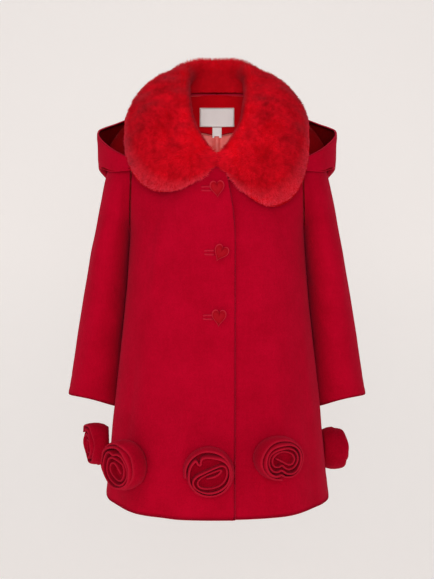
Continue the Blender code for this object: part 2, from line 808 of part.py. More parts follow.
def rose_strip(spec):
    """The rolled strip: a wall on a spiral, leaning in at its foot and its rim."""
    made = bmesh.new()
    steps = int(spec.turns * ROSE_STEPS)
    rings = []
    for i in range(steps + 1):
        share = i / steps
        angle = 2.0 * math.pi * spec.turns * share + math.radians(spec.spin)
        radius = rose_radius(share)
        radius *= 1.0 + 0.07 * math.sin(2.0 * angle + 1.0) * (1.0 - share)
        height = ROSE_HEIGHT - 7.0 * (1.0 - share)
        direction = Vector((math.cos(angle), spec.squash * math.sin(angle), 0.0))
        ring = []
        for level, lean in ((0.0, 0.80), (0.5, 1.0), (1.0, 0.96)):
            ring.append(direction * (radius * lean + ROSE_WALL / 2) + Vector((0, 0, height * level)))
        for level, lean in ((1.0, 0.96), (0.5, 1.0), (0.0, 0.80)):
            ring.append(direction * (radius * lean - ROSE_WALL / 2) + Vector((0, 0, height * level)))
        rings.append([made.verts.new(point * MM) for point in ring])
    for low, high in zip(rings, rings[1:]):
        for j in range(6):
            k = (j + 1) % 6
            made.faces.new((low[j], low[k], high[k], high[j]))
    made.faces.new(rings[0])
    made.faces.new(rings[-1][::-1])
    bmesh.ops.recalc_face_normals(made, faces=made.faces)
    mesh = bpy.data.meshes.new(spec.name)
    made.to_mesh(mesh)
    made.free()
    return mesh


def seat_height(matrix, radius, body_tree):
    """How high the body stands under a disc, along the disc's own axis from its middle."""
    axis = matrix.to_3x3() @ Vector((0.0, 0.0, 1.0))
    reach = 80.0 * MM
    heights = []
    for share in (0.0, 0.5, 1.0):
        for step in range(16):
            angle = 2.0 * math.pi * step / 16
            place = Vector((radius * share * math.cos(angle), radius * share * math.sin(angle), 0.0))
            start = matrix @ (place * MM) + axis * reach
            _, _, _, far = body_tree.ray_cast(start, -axis, 2.0 * reach)
            if far is not None:
                heights.append(reach - far)
    return max(heights)


def rose(spec, look, collection, cutters, body_tree):
    """A rolled rose on its round base, its face turned outward."""
    look_angle = math.radians(spec.look)
    face_out = Vector((math.sin(look_angle), -math.cos(look_angle), 0.0))
    turned = face_out.to_track_quat("Z", "Y").to_matrix().to_4x4()
    matrix = Matrix.Translation(Vector((spec.x, spec.y, spec.z)) * MM) @ turned
    seat = seat_height(matrix, ROSE_BASE_RADIUS, body_tree) + (SEAM + ROSE_BASE_SINK) * MM
    placed = add(rose_strip(spec), look, collection)
    placed.matrix_world = Matrix.Translation(face_out * seat) @ matrix
    base = bmesh.new()
    bmesh.ops.create_cone(
        base, cap_ends=True, segments=20,
        radius1=ROSE_BASE_RADIUS * MM, radius2=(ROSE_BASE_RADIUS + 2.0) * MM, depth=ROSE_BASE * MM,
        matrix=Matrix.Translation((0, 0, (ROSE_BASE / 2 - ROSE_BASE_SINK) * MM)),
    )
    mesh = bpy.data.meshes.new(spec.name + "_base")
    base.to_mesh(mesh)
    base.free()
    cutter = add(mesh, look, cutters)
    cutter.hide_render = True
    cutter.display_type = "WIRE"
    cutter.matrix_world = placed.matrix_world
    joined = placed.modifiers.new("Base", "BOOLEAN")
    joined.operation = "UNION"
    joined.solver = "EXACT"
    joined.object = cutter
    return placed


def build():
    for old in list(bpy.data.objects):
        bpy.data.objects.remove(old)
    coat = bpy.data.collections.new("hooded_coat")
    cutters = bpy.data.collections.new("cutters")
    for collection in (coat, cutters):
        bpy.context.scene.collection.children.link(collection)

    felt = material("red felt", RED, 0.9)
    pile = material("red fur", FUR_RED, 0.85)
    satin = material("coral satin", CORAL, 0.35)
    woven = material("woven label", OFF_WHITE, 0.7)
    shell = material("button", FUR_RED, 0.4)

    body = [
        front("front_right", -1, felt, coat),
        front("front_left", 1, felt, coat),
        back(felt, coat),
        sleeve("sleeve_right", -1, felt, coat),
        sleeve("sleeve_left", 1, felt, coat),
    ]
    body_tree = faces_of(body)
    hoods = [hood("hood_right", -1, felt, coat, body_tree), hood("hood_left", 1, felt, coat, body_tree)]
    collar(pile, coat, faces_of(body + hoods))

    inside_back("neck_facing", FACING_ROWS, FACING_COLUMNS, FACING_WALL, felt, coat)
    inside_back("back_lining", LINING_ROWS, LINING_COLUMNS, LINING, satin, coat)
    label_inset = FELT + INSIDE_GAP + FACING_WALL + LABEL_LIFT
    label_piece("label", LABEL_WIDTH, LABEL_TOP_Z, LABEL_BOTTOM_Z, label_inset, woven, coat)
    label_piece("size_tab", TAB_WIDTH, LABEL_BOTTOM_Z - SEAM, TAB_BOTTOM_Z, label_inset, woven, coat)

    for spec in BUTTONS:
        button(spec, shell, coat, body_tree)
    for spec in ROSES:
        rose(spec, felt, coat, cutters, body_tree)


build()
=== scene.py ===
"""A child's hooded felt coat with a fur collar, heart buttons and rolled roses: how it looks.

Lengths in the tables are in millimetres: +X is the wearer's left, -Y the front and +Z up, from the
middle of the neck's base. Each cloth is a fine sheet with a wall, on the form of its solid.
"""

import math
from collections import namedtuple

import bpy
import numpy as np
from mathutils import Matrix, Vector
from mathutils.bvhtree import BVHTree


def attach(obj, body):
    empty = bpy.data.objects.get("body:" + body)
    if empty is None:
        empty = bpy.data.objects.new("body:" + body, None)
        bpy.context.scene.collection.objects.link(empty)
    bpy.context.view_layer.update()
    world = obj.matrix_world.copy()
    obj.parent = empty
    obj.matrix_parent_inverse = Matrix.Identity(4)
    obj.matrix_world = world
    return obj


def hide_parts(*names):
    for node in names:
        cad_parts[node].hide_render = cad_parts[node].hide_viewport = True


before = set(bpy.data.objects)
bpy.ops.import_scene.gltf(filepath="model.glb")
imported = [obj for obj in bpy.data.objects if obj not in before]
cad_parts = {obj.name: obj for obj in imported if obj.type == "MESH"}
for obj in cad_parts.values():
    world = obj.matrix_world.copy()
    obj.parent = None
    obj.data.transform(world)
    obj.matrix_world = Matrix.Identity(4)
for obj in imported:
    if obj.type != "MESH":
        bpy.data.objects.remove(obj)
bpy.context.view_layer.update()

MM = 0.001

# Cloth and seams
FELT = 2.4
LINING = 1.2
HOOD_WALL = 2.6
LABEL_WALL = 1.0
SEAM = 0.3
SEAM_AT_BEND = 1.0
SHOULDER_GAP = 2.0

# The body's heights and edges
HEM_Z = -542.0
ARMPIT_Z = -180.0
ROUND = 2.0 / 2.25
OVERLAP = 24.0
OVERLAP_AT_NECK = 0.07
OVERLAP_LIFT = FELT + 0.7
YOKE_LIFT = 3.6
LIFT_START = -80.0
LIFT_END = -30.0

# How finely each piece is divided
FRONT_COLUMNS = 12
BACK_COLUMNS = 20
SKIRT_ROWS = 11
YOKE_ROWS = 8
YOKE_CROWD = 1.4
SLEEVE_SIDES = 24
CAP_ROWS = 6
SLEEVE_ROWS = 6
COLLAR_STATIONS = 34
COLLAR_PROFILE = 9
HOOD_STATIONS = 13
HOOD_PROFILE = 11

# One row for each height: half the width, and the depth in front of and behind the side seams
BodyRow = namedtuple("BodyRow", "z half_width front back fold")
BODY = (
    BodyRow(-550.0, 151.5, 113.0, 106.0, 3.4),
    BodyRow(-420.0, 139.0, 104.0, 99.0, 2.4),
    BodyRow(-300.0, 126.0, 95.0, 91.0, 1.1),
    BodyRow(-235.0, 120.0, 90.0, 87.0, 0.4),
    BodyRow(ARMPIT_Z, 116.5, 86.0, 83.0, 0.0),
)

# Soft folds that run up from the hem: degrees round from the centre front, width and height
Fold = namedtuple("Fold", "turn width height")
FOLDS = (
    Fold(-158.0, 11.0, 1.0),
    Fold(-124.0, 13.0, -0.8),
    Fold(-96.0, 9.0, 0.7),
    Fold(-62.0, 10.0, -0.9),
    Fold(-38.0, 9.0, 0.8),
    Fold(-18.0, 7.0, 0.7),
    Fold(34.0, 10.0, 0.9),
    Fold(58.0, 9.0, -0.8),
    Fold(88.0, 9.0, 0.8),
    Fold(118.0, 12.0, -0.9),
    Fold(146.0, 11.0, 0.9),
    Fold(178.0, 13.0, -0.7),
)

# Where the hem is caught up a little, in the same degrees
HEM_RISES = (
    Fold(-95.0, 45.0, 7.0),
    Fold(75.0, 35.0, 3.0),
)

# The neck seam from the centre front, share 0, over the neck's side, 0.5, to the centre back, 1.
# Here and below, a row past 1 repeats one from the other side, to keep the centre back smooth.
NeckRow = namedtuple("NeckRow", "share x y z")
NECK_SIDE = 0.5
NECK = (
    NeckRow(0.00, 0.0, -80.0, -84.0),
    NeckRow(0.12, 17.0, -77.0, -77.0),
    NeckRow(0.25, 33.0, -63.0, -58.0),
    NeckRow(0.38, 45.0, -36.0, -27.0),
    NeckRow(0.50, 52.0, 4.0, 3.0),
    NeckRow(0.65, 45.0, 37.0, 7.0),
    NeckRow(0.80, 28.0, 56.0, 9.0),
    NeckRow(0.90, 14.5, 61.0, 9.5),
    NeckRow(1.00, 0.0, 62.0, 9.5),
    NeckRow(1.10, -14.5, 61.0, 9.5),
)
SHOULDER_X = 110.0
SHOULDER_Y = 6.0
SHOULDER_Z = -36.0
SHOULDER_BOW = 4.0

# How a front or the back leaves the armpit's level and arrives at its top edge, from its middle
# edge, across 0, to the armhole, across 1
Pull = namedtuple("Pull", "across leave_x leave_y leave_z arrive_y arrive_z")
FRONT_NECK_SHARE = 0.5
FRONT_PULLS = (
    Pull(0.0, 0.0, 0.0, 30.0, -3.0, -28.0),
    Pull(0.2, 0.0, 0.0, 32.0, -5.0, -27.0),
    Pull(0.5, -5.0, -2.0, 70.0, -40.0, -15.0),
    Pull(0.8, -4.0, -26.0, 54.0, -42.0, -9.0),
    Pull(1.0, -3.0, -54.0, 32.0, -44.0, -8.0),
)
BACK_NECK_SHARE = 0.4
SEAM_SHARE = 0.001
BACK_PULLS = (
    Pull(0.0, 0.0, 2.0, 70.0, 9.0, -30.0),
    Pull(0.4, -4.0, 2.0, 72.0, 30.0, -7.0),
    Pull(0.75, -4.0, 26.0, 54.0, 44.0, -7.0),
    Pull(1.0, -3.0, 58.0, 32.0, 50.0, -8.0),
)

# A sleeve below its cap: its middle, half its width and depth, and how far its outer edge rises
SleeveRow = namedtuple("SleeveRow", "z x y half_width half_depth rise")
SLEEVE = (
    SleeveRow(-406.0, 171.5, 33.0, 34.5, 35.0, 8.5),
    SleeveRow(-340.0, 163.0, 25.0, 31.5, 41.0, 4.0),
    SleeveRow(-270.0, 154.0, 16.0, 28.0, 46.0, 1.5),
    SleeveRow(-205.0, 145.5, 8.0, 24.5, 50.0, 0.0),
)
CAP_TOP_REACH = 29.0
CAP_FOLD_REACH = 4.0

# The collar's backing cloth: the roll, the middle of the fall and its outer edge, by neck share
Place = namedtuple("Place", "share x y z")
COLLAR_START = 0.025
COLLAR_RISE = 2.0
COLLAR_ROLL = (
    Place(0.00, 3.0, -87.0, -81.0),
    Place(0.14, 20.0, -89.0, -64.0),
    Place(0.25, 35.0, -76.0, -42.0),
    Place(0.38, 45.0, -46.0, -6.0),
    Place(0.50, 47.0, 2.0, 26.0),
    Place(0.65, 42.0, 39.0, 40.0),
    Place(0.80, 27.0, 58.0, 45.0),
    Place(0.90, 14.0, 63.0, 46.0),
    Place(1.00, 0.0, 64.0, 46.0),
    Place(1.10, -14.0, 63.0, 46.0),
)
COLLAR_FALL = (
    Place(0.00, 6.0, -92.0, -87.0),
    Place(0.14, 34.0, -97.0, -88.0),
    Place(0.25, 62.0, -92.0, -80.0),
    Place(0.38, 79.0, -64.0, -40.0),
    Place(0.50, 80.0, 0.0, -3.0),
    Place(0.65, 70.0, 57.0, 6.0),
    Place(0.80, 45.0, 88.0, 7.0),
    Place(0.90, 23.0, 97.0, 7.0),
    Place(1.00, 0.0, 99.0, 6.0),
    Place(1.10, -23.0, 97.0, 7.0),
)
COLLAR_EDGE = (
    Place(0.00, 7.0, -88.0, -91.0),
    Place(0.08, 23.0, -92.0, -107.0),
    Place(0.16, 45.0, -92.0, -120.0),
    Place(0.24, 71.0, -88.0, -124.0),
    Place(0.32, 92.0, -72.0, -113.0),
    Place(0.41, 103.0, -44.0, -82.0),
    Place(0.50, 104.0, -4.0, -44.0),
    Place(0.65, 100.0, 60.0, -42.0),
    Place(0.80, 66.0, 99.0, -54.0),
    Place(0.90, 33.0, 110.0, -60.0),
    Place(1.00, 0.0, 113.0, -62.0),
    Place(1.10, -33.0, 110.0, -60.0),
)
Pile = namedtuple("Pile", "share fur left_drop")
COLLAR_PILE = (
    Pile(0.00, 6.0, 0.0),
    Pile(0.08, 11.0, 4.0),
    Pile(0.16, 15.0, 14.0),
    Pile(0.24, 16.0, 19.0),
    Pile(0.32, 16.0, 17.0),
    Pile(0.41, 16.0, 8.0),
    Pile(0.50, 16.0, 0.0),
    Pile(1.00, 16.0, 0.0),
)
Depth = namedtuple("Depth", "along full")
FUR_PROFILE = (
    Depth(0.00, 0.14),
    Depth(0.15, 0.66),
    Depth(0.35, 1.00),
    Depth(0.75, 1.00),
    Depth(0.90, 0.80),
    Depth(1.00, 0.35),
)

# The hood, thrown back: where it lies on the body, its lowest line, its outside and its face edge
HOOD_START = 0.13
HOOD_LIE = (
    Place(0.12, 24.0, -80.0, -81.0),
    Place(0.25, 58.0, -64.0, -66.0),
    Place(0.38, 84.0, -36.0, -44.0),
    Place(0.50, 94.0, 4.0, -20.0),
    Place(0.65, 84.0, 60.0, -26.0),
    Place(0.80, 50.0, 84.0, -42.0),
    Place(1.00, 0.0, 89.0, -50.0),
    Place(1.20, -50.0, 84.0, -42.0),
)
HOOD_BOTTOM = (
    Place(0.12, 29.0, -82.0, -83.0),
    Place(0.25, 80.0, -60.0, -84.0),
    Place(0.38, 115.0, -36.0, -84.0),
    Place(0.50, 138.0, 4.0, -74.0),
    Place(0.65, 128.0, 70.0, -114.0),
    Place(0.80, 76.0, 100.0, -158.0),
    Place(1.00, 0.0, 106.0, -174.0),
    Place(1.20, -76.0, 100.0, -158.0),
)
HOOD_SIDE = (
    Place(0.12, 33.0, -84.0, -83.0),
    Place(0.25, 92.0, -58.0, -90.0),
    Place(0.38, 134.0, -38.0, -98.0),
    Place(0.50, 158.0, 6.0, -92.0),
    Place(0.65, 150.0, 80.0, -106.0),
    Place(0.80, 98.0, 128.0, -136.0),
    Place(1.00, 0.0, 143.0, -146.0),
    Place(1.20, -98.0, 128.0, -136.0),
)
HOOD_RIM = (
    Place(0.12, 35.0, -86.0, -80.0),
    Place(0.25, 88.0, -54.0, -85.0),
    Place(0.38, 135.0, -38.0, -69.0),
    Place(0.50, 161.0, 10.0, -46.0),
    Place(0.65, 147.0, 78.0, -31.0),
    Place(0.80, 98.0, 122.0, -15.0),
    Place(1.00, 0.0, 138.0, -20.0),
    Place(1.20, -98.0, 122.0, -15.0),
)
HOOD_LIFT = 1.6
COLLAR_LIFT = 2.8
EDGE_REACH = 4.0
CLEAR_PASSES = 3
DRAPE_REACH = 24.0
DRAPE_PASSES = 2
COLLAR_DRAPES = 2

# What shows inside the neck: rows of the back's yoke counted from the armpit, and columns from
# the centre back
INSIDE_GAP = 1.2
FACING_WALL = 1.5
FACING_ROWS = (4, 8)
FACING_COLUMNS = 4
LINING_ROWS = (1, 4)
LINING_COLUMNS = 5
LABEL_WIDTH = 48.0
LABEL_TOP_Z = -9.0
LABEL_BOTTOM_Z = -35.0
LABEL_LIFT = 1.0
TAB_WIDTH = 13.0
TAB_BOTTOM_Z = -50.0

# Heart buttons on the upper front, from the top one down, and how far each is turned
Button = namedtuple("Button", "name x z turn")
BUTTONS = (
    Button("button_1", 0.4, -121.0, -4.0),
    Button("button_2", 4.2, -202.0, 26.0),
    Button("button_3", 2.4, -284.0, 3.0),
)
HEART_WIDTH = 18.6
HEART_HEIGHT = 22.4
# A ring of the button: its share of the outline, and its height
Ring = namedtuple("Ring", "share height")

# Rolled roses near the hem: a place near the base, the way the face looks in degrees round from
# the front, how far the roll is spun, its turns, and its height as a share of its width
Rose = namedtuple("Rose", "name x y z look spin turns squash on")
ROSES = (
    Rose("rose_1", -146.0, 26.0, -473.0, -86.0, 40.0, 3.3, 1.00, "back"),
    Rose("rose_2", -105.0, -80.0, -473.0, -44.0, 200.0, 3.3, 1.00, "front_right"),
    Rose("rose_3", -11.0, -112.0, -474.0, 0.0, 310.0, 3.2, 1.00, "front_right"),
    Rose("rose_4", 70.0, -102.0, -459.0, 20.0, 120.0, 3.2, 0.82, "front_left"),
    Rose("rose_5", 146.0, 30.0, -479.0, 100.0, 235.0, 3.3, 1.00, "back"),
)
ROSE_RADIUS = 32.5
ROSE_HEIGHT = 36.0
ROSE_WALL = 3.8
ROSE_CORE = 5.5
ROSE_BASE_RADIUS = 25.0
ROSE_BASE_SINK = 1.2


# Creases and ridges pressed into the cloth: a place on the cloth in millimetres, how far
# each reaches either way along its line, half its width, how it leans from upright, its height
Crease = namedtuple("Crease", "u v reach width lean height")
GIRTH_PER_DEGREE = 2.1
BODY_CREASES = (
    Crease(-100.0, -216.0, 46.0, 8.0, 4.0, 1.9),
    Crease(-39.0, -328.0, 40.0, 9.0, -3.0, 1.7),
    Crease(-44.0, -432.0, 46.0, 9.0, 3.0, 2.4),
    Crease(-92.0, -502.0, 36.0, 9.0, -2.0, 2.5),
    Crease(-128.0, -395.0, 58.0, 11.0, 3.0, -2.0),
    Crease(-112.0, -178.0, 22.0, 6.0, 32.0, -0.9),
    Crease(88.0, -428.0, 52.0, 10.0, -4.0, 2.3),
    Crease(52.0, -500.0, 38.0, 9.0, 2.0, -1.9),
    Crease(116.0, -182.0, 24.0, 6.0, -30.0, -0.9),
    Crease(70.0, -262.0, 44.0, 10.0, 6.0, 1.3),
    Crease(140.0, -360.0, 66.0, 11.0, -3.0, 1.3),
    Crease(176.0, -480.0, 48.0, 12.0, 4.0, -1.5),
    Crease(214.0, -300.0, 52.0, 12.0, -5.0, 1.1),
    Crease(246.0, -455.0, 62.0, 11.0, 3.0, 1.7),
    Crease(292.0, -380.0, 44.0, 13.0, -2.0, -1.2),
    Crease(334.0, -492.0, 40.0, 11.0, 5.0, 1.4),
    Crease(-168.0, -462.0, 56.0, 12.0, -4.0, 1.4),
    Crease(-206.0, -336.0, 48.0, 12.0, 5.0, -1.1),
    Crease(-243.0, -470.0, 54.0, 11.0, -3.0, 1.6),
    Crease(-287.0, -402.0, 64.0, 12.0, 3.0, 1.1),
    Crease(-331.0, -470.0, 46.0, 12.0, -4.0, -1.3),
    Crease(-362.0, -300.0, 58.0, 13.0, 2.0, 0.9),
)
SLEEVE_GIRTH = 250.0
SLEEVE_CREASES_RIGHT = (
    Crease(58.0, -128.0, 26.0, 7.0, 24.0, 1.3),
    Crease(84.0, -196.0, 40.0, 9.0, -12.0, 1.2),
    Crease(24.0, -262.0, 20.0, 6.0, 52.0, -1.5),
    Crease(40.0, -286.0, 24.0, 6.0, 40.0, 1.3),
    Crease(72.0, -330.0, 42.0, 9.0, -8.0, 1.2),
    Crease(118.0, -160.0, 34.0, 10.0, 6.0, -1.0),
    Crease(140.0, -290.0, 46.0, 10.0, -5.0, 1.0),
    Crease(186.0, -220.0, 30.0, 9.0, 18.0, 1.1),
    Crease(214.0, -300.0, 26.0, 8.0, -36.0, -1.3),
    Crease(196.0, -368.0, 24.0, 9.0, 8.0, 1.1),
)
SLEEVE_CREASES_LEFT = (
    Crease(62.0, -140.0, 30.0, 8.0, -20.0, 1.2),
    Crease(90.0, -232.0, 46.0, 9.0, 10.0, 1.1),
    Crease(20.0, -248.0, 18.0, 6.0, -48.0, -1.4),
    Crease(46.0, -306.0, 26.0, 7.0, -36.0, 1.4),
    Crease(78.0, -356.0, 34.0, 9.0, 6.0, 1.0),
    Crease(126.0, -190.0, 40.0, 11.0, -4.0, -1.0),
    Crease(150.0, -322.0, 38.0, 10.0, 7.0, 1.1),
    Crease(182.0, -178.0, 28.0, 8.0, -22.0, 1.1),
    Crease(208.0, -276.0, 30.0, 8.0, 30.0, -1.2),
)
# How far a sleeve's inner side hangs in towards the body: heights, and distances there
# How far each panel's side edge is drawn to its seam, which closes it
SEAM_CLOSE = 0.47
# How much lower a cuff's two corners hang than its middle, and from which height on
CUFF_CORNERS = 6.0
CUFF_HEIGHTS = (-362.0, -325.0)
SLEEVE_CLOSE = ((-380.0, -320.0, -285.0, -205.0, -186.0, -166.0), (0.0, 0.8, 2.6, 3.4, 3.8, 0.0))
HOOD_LENGTH = 330.0
HOOD_WIDTH = 190.0
HOOD_CREASES = (
    Crease(58.0, 132.0, 26.0, 7.0, 62.0, 1.8),
    Crease(92.0, 108.0, 34.0, 8.0, 74.0, -1.8),
    Crease(150.0, 140.0, 40.0, 9.0, 80.0, 1.5),
    Crease(214.0, 92.0, 46.0, 10.0, 96.0, -1.8),
    Crease(262.0, 150.0, 38.0, 9.0, 84.0, 1.4),
    Crease(300.0, 112.0, 30.0, 10.0, 70.0, 1.6),
)

# The cut of each cloth before it was sewn: the least width and length it comes out of, and its area
Cut = namedtuple("Cut", "width length area")

# The fur: how many hairs there are on each stretch, and their sizes
Hairs = namedtuple("Hairs", "name first last count")
FUR_PIECES = (
    Hairs("fur_right_front", 0.00, 0.20, 42000),
    Hairs("fur_right_side", 0.20, 0.40, 42000),
    Hairs("fur_back", 0.40, 0.60, 36000),
    Hairs("fur_left_side", 0.60, 0.80, 42000),
    Hairs("fur_left_front", 0.80, 1.00, 42000),
)
HAIR_WIDTH = 0.95
HAIR_ROOT = 0.50
HAIR_REACH = 1.00
SHORT_ROOT = 0.76
FUR_CORE = 0.72
TUFT_SPACING = 6.5
# Where the painted pink sheen on the hair tips begins, across the collar towards its outer edge
RIM_SHEEN_START = 0.90
FRINGE_INSET = 4.0
END_ROWS = 9.0
# How much of the fur's depth its lobes have on the collar's two sides, by neck share
SLIM = ((0.12, 0.26, 0.62, 0.84), (1.0, 0.62, 0.62, 0.9))
SLIM_LEFT = ((0.12, 0.26, 0.62, 0.84), (1.0, 0.48, 0.55, 0.9))
LOBES_ACROSS = ((0.28, 0.44), (0.0, 1.0))
# The front of the stand is thinner, so that the neck opens: by neck share, and across the cut
FRONT_STAND = ((0.25, 0.62), (1.0, 0.0))
STAND_ACROSS = ((0.42, 0.56), (1.0, 0.0))
FRONT_STAND_SLIM = 0.42
# On the collar's two sides the fur's edge is drawn in
SIDE_INSET = 1.0

# Each rose's doubled strip, from its inner end outwards: the middle of its rim, to the right and up
# over the face as one looks at it. The two side roses, hardly seen from the front, are spirals.
PATHS = {
    "rose_2": (
        (6.2, -10.4), (3.0, -5.9), (-1.3, -0.7), (-6.6, 2.7), (-11.6, 1.8), (-14.0, -3.4),
        (-12.6, -9.8), (-7.4, -16.6), (-0.4, -20.6), (6.8, -19.0), (12.0, -13.0), (13.6, -5.0),
        (11.4, 2.4), (6.6, 5.8), (0.0, 8.8), (-7.8, 10.4), (-15.8, 8.0), (-19.4, 0.8),
        (-18.6, -9.3), (-11.8, -19.9), (-1.0, -25.8), (9.6, -24.4), (17.0, -17.0), (20.0, -6.0),
        (18.0, 5.2), (11.6, 13.2), (3.4, 16.4), (-4.2, 15.2), (-10.0, 18.0), (-16.4, 16.6),
        (-22.4, 9.2), (-24.6, -1.6), (-22.4, -12.6), (-14.4, -23.4), (-1.8, -29.6),
        (12.4, -27.4), (22.8, -18.4), (26.4, -5.6), (24.2, 8.4), (15.8, 20.0), (3.6, 25.6),
        (-8.6, 25.2), (-19.2, 20.6), (-27.0, 11.2), (-29.6, -1.2), (-27.0, -13.6),
        (-18.6, -24.6), (-5.6, -30.8), (9.6, -30.0), (22.4, -22.0), (29.6, -9.6), (30.4, 5.0),
        (25.0, 17.6), (14.4, 27.0), (0.8, 30.8), (-12.6, 28.4), (-21.4, 23.0),
    ),
    "rose_3": (
        (-2.3, -6.8), (7.8, -4.4), (14.6, -0.4), (17.6, 4.0), (13.8, 4.6), (5.0, 1.4),
        (-3.8, -2.8), (-10.4, -7.0), (-14.0, -12.6), (-10.6, -18.2), (0.3, -20.0),
        (12.4, -17.2), (21.4, -9.8), (25.2, -0.2), (23.6, 8.2), (18.0, 11.0), (10.0, 8.6),
        (-1.8, 3.2), (-14.2, -2.8), (-19.6, -9.4), (-18.2, -17.4), (-11.0, -23.2), (0.0, -25.6),
        (13.6, -22.8), (24.4, -14.0), (29.0, -1.4), (27.2, 11.0), (18.8, 19.0), (7.6, 22.0),
        (-2.6, 22.8), (-8.6, 20.2), (-9.8, 13.6), (-13.0, 13.8), (-16.6, 18.0), (-23.0, 9.6),
        (-25.2, -1.0), (-23.8, -13.4), (-16.6, -23.8), (-4.6, -29.6), (10.2, -29.6),
        (23.0, -21.6), (30.2, -9.0), (31.0, 5.0), (25.6, 17.4), (15.0, 26.6), (1.2, 30.4),
        (-13.0, 27.4), (-23.8, 19.0), (-29.6, 7.2), (-29.8, -6.0),
    ),
    "rose_4": (
        (-8.7, 2.2), (-2.0, -1.3), (4.7, -5.2), (10.7, -8.0), (16.0, -6.6), (18.6, -0.4),
        (15.6, 5.8), (8.6, 9.4), (0.0, 10.6), (-8.7, 8.6), (-14.0, 3.4), (-14.6, -3.2),
        (-11.0, -8.4), (-5.2, -9.4), (-0.4, -7.4), (4.0, -11.2), (10.8, -14.2), (18.2, -12.0),
        (22.8, -3.9), (21.8, 5.6), (16.0, 12.2), (6.6, 15.4), (-4.7, 14.6), (-14.6, 10.2),
        (-19.6, 2.8), (-19.8, -6.0), (-15.0, -13.4), (-8.0, -15.6), (-1.6, -13.8), (5.4, -18.2),
        (14.6, -19.4), (23.0, -14.6), (27.2, -4.2), (25.6, 8.4), (18.1, 17.0), (6.8, 20.8),
        (-6.4, 20.0), (-17.6, 15.2), (-24.4, 6.2), (-25.2, -5.6), (-20.4, -15.4),
        (-11.6, -20.4), (-2.6, -19.4), (6.6, -24.4), (17.0, -24.2), (26.2, -17.4),
        (31.0, -5.8), (29.8, 7.6), (22.6, 18.4), (10.6, 24.8), (-3.4, 26.0), (-16.4, 22.4),
        (-26.2, 14.0), (-30.4, 2.4), (-28.8, -9.4), (-21.2, -19.6), (-10.2, -25.4),
        (0.0, -26.6),
    ),
}
SPIRAL_POINTS = 18
PATH_STEPS = 5
# How much higher each rose's face is at its right rim than in its middle; and how the soft roll
# leans, in degrees, from the way that its base looks
FACE_SLOPE = {"rose_1": -9.0, "rose_2": -2.0, "rose_3": 0.0, "rose_4": 0.0, "rose_5": -3.0}
LEAN_ROUND = {"rose_1": 2.0, "rose_2": 0.0, "rose_3": 0.0, "rose_4": 4.0, "rose_5": 0.0}
LEAN_UP = -1.0
LAST_TURN = 190.0
LAST_TURN_DROP = 5.5
CUP = 8.0
ROSE_EDGE = 1.25
# Across the strip, from its outer foot over the cut edge to its inner foot: the share of half its
# wall, of its height, and how much painted highlight lies on the cut edge
Strip = namedtuple("Strip", "across level edge")
STRIP = (
    Strip(1.00, 0.00, 0.0), Strip(1.00, 0.20, 0.0), Strip(1.00, 0.42, 0.0), Strip(1.00, 0.62, 0.0),
    Strip(1.00, 0.80, 0.0), Strip(1.00, 0.93, 0.1), Strip(0.86, 0.98, 0.7), Strip(0.40, 1.00, 1.0),
    Strip(-0.40, 1.00, 1.0), Strip(-0.86, 0.98, 0.7), Strip(-1.00, 0.93, 0.1),
    Strip(-1.00, 0.66, 0.0), Strip(-1.00, 0.33, 0.0), Strip(-1.00, 0.00, 0.0),
)
# The roll's barrel: how far out its turns stand at each share of its height
BARREL_LEVELS = (0.0, 0.12, 0.35, 0.65, 0.88, 1.0)
BARREL_REACHES = (0.78, 0.90, 0.99, 1.01, 0.98, 0.93)
# The felt inside a rose, under its open turns: how far out and how high its rings are
Filling = namedtuple("Filling", "reach height")
FILLING = (
    Filling(2.0, 0.0), Filling(22.0, 0.0), Filling(25.0, 2.0), Filling(28.0, 10.0),
    Filling(28.6, 16.0), Filling(27.0, 19.6), Filling(22.0, 20.8), Filling(12.0, 20.0),
    Filling(2.0, 19.0),
)

# Across a heart button, from its shank over the rim to the middle of its padded top
HEART_FORM = (
    Ring(0.20, 0.2), Ring(0.20, 1.6), Ring(0.72, 1.6), Ring(0.93, 2.2), Ring(1.00, 3.3),
    Ring(1.00, 4.3), Ring(0.965, 4.9), Ring(0.915, 4.8), Ring(0.88, 4.3), Ring(0.83, 4.6),
    Ring(0.72, 5.3), Ring(0.56, 5.9), Ring(0.38, 6.2), Ring(0.20, 6.4), Ring(0.05, 6.4),
)
# How much painted highlight each ring of the heart's rim gets, most on its crest
HEART_RIM = {5: 0.55, 6: 1.0, 7: 0.8, 8: 0.1}
HEART_STEPS_FINE = 72

# The bound buttonholes: two welts from under each button towards the coat's middle
WELT_LENGTH = 13.0
WELT_SPACING = 5.0
WELT_RADIUS = 1.15
WELT_RISE = 1.2

RED = (0.440, 0.0012, 0.0180)
RED_DEEP = (0.345, 0.0008, 0.0120)
# The roses' felt: the red felt painted darker, as painted shade in the rolled folds
ROSE_RED_SHADED = (0.400, 0.0010, 0.0160)
ROSE_RED_SHADED_DEEP = (0.270, 0.0006, 0.0090)
# Paler pink for painted highlight on rounded rims, buttonhole welts and the roses' cut edges
EDGE_HIGHLIGHT_PINK = (0.560, 0.0240, 0.0520)
# The neck facing's red plush, painted lighter to stand in for the light inside the neck
NECK_PLUSH_LIT = (0.560, 0.0020, 0.0075)
NECK_PLUSH_LIT_DEEP = (0.430, 0.0013, 0.0050)
# Painted highlight: how pale the rounded rims of the body, sleeves and hood are painted
RIM_HIGHLIGHT = 0.35
# The hood's red lining, painted dark: painted shade inside the thrown-back hood
HOOD_SHADE_RED = (0.180, 0.0009, 0.0026)
HOOD_SHADE_RED_DEEP = (0.120, 0.0006, 0.0017)
# Hair roots, painted darker as the shade deep in the pile; also the dark end of the fur's uneven tone
FUR_DEEP = (0.430, 0.0006, 0.0045)
FUR_MAIN = (0.860, 0.0040, 0.0190)
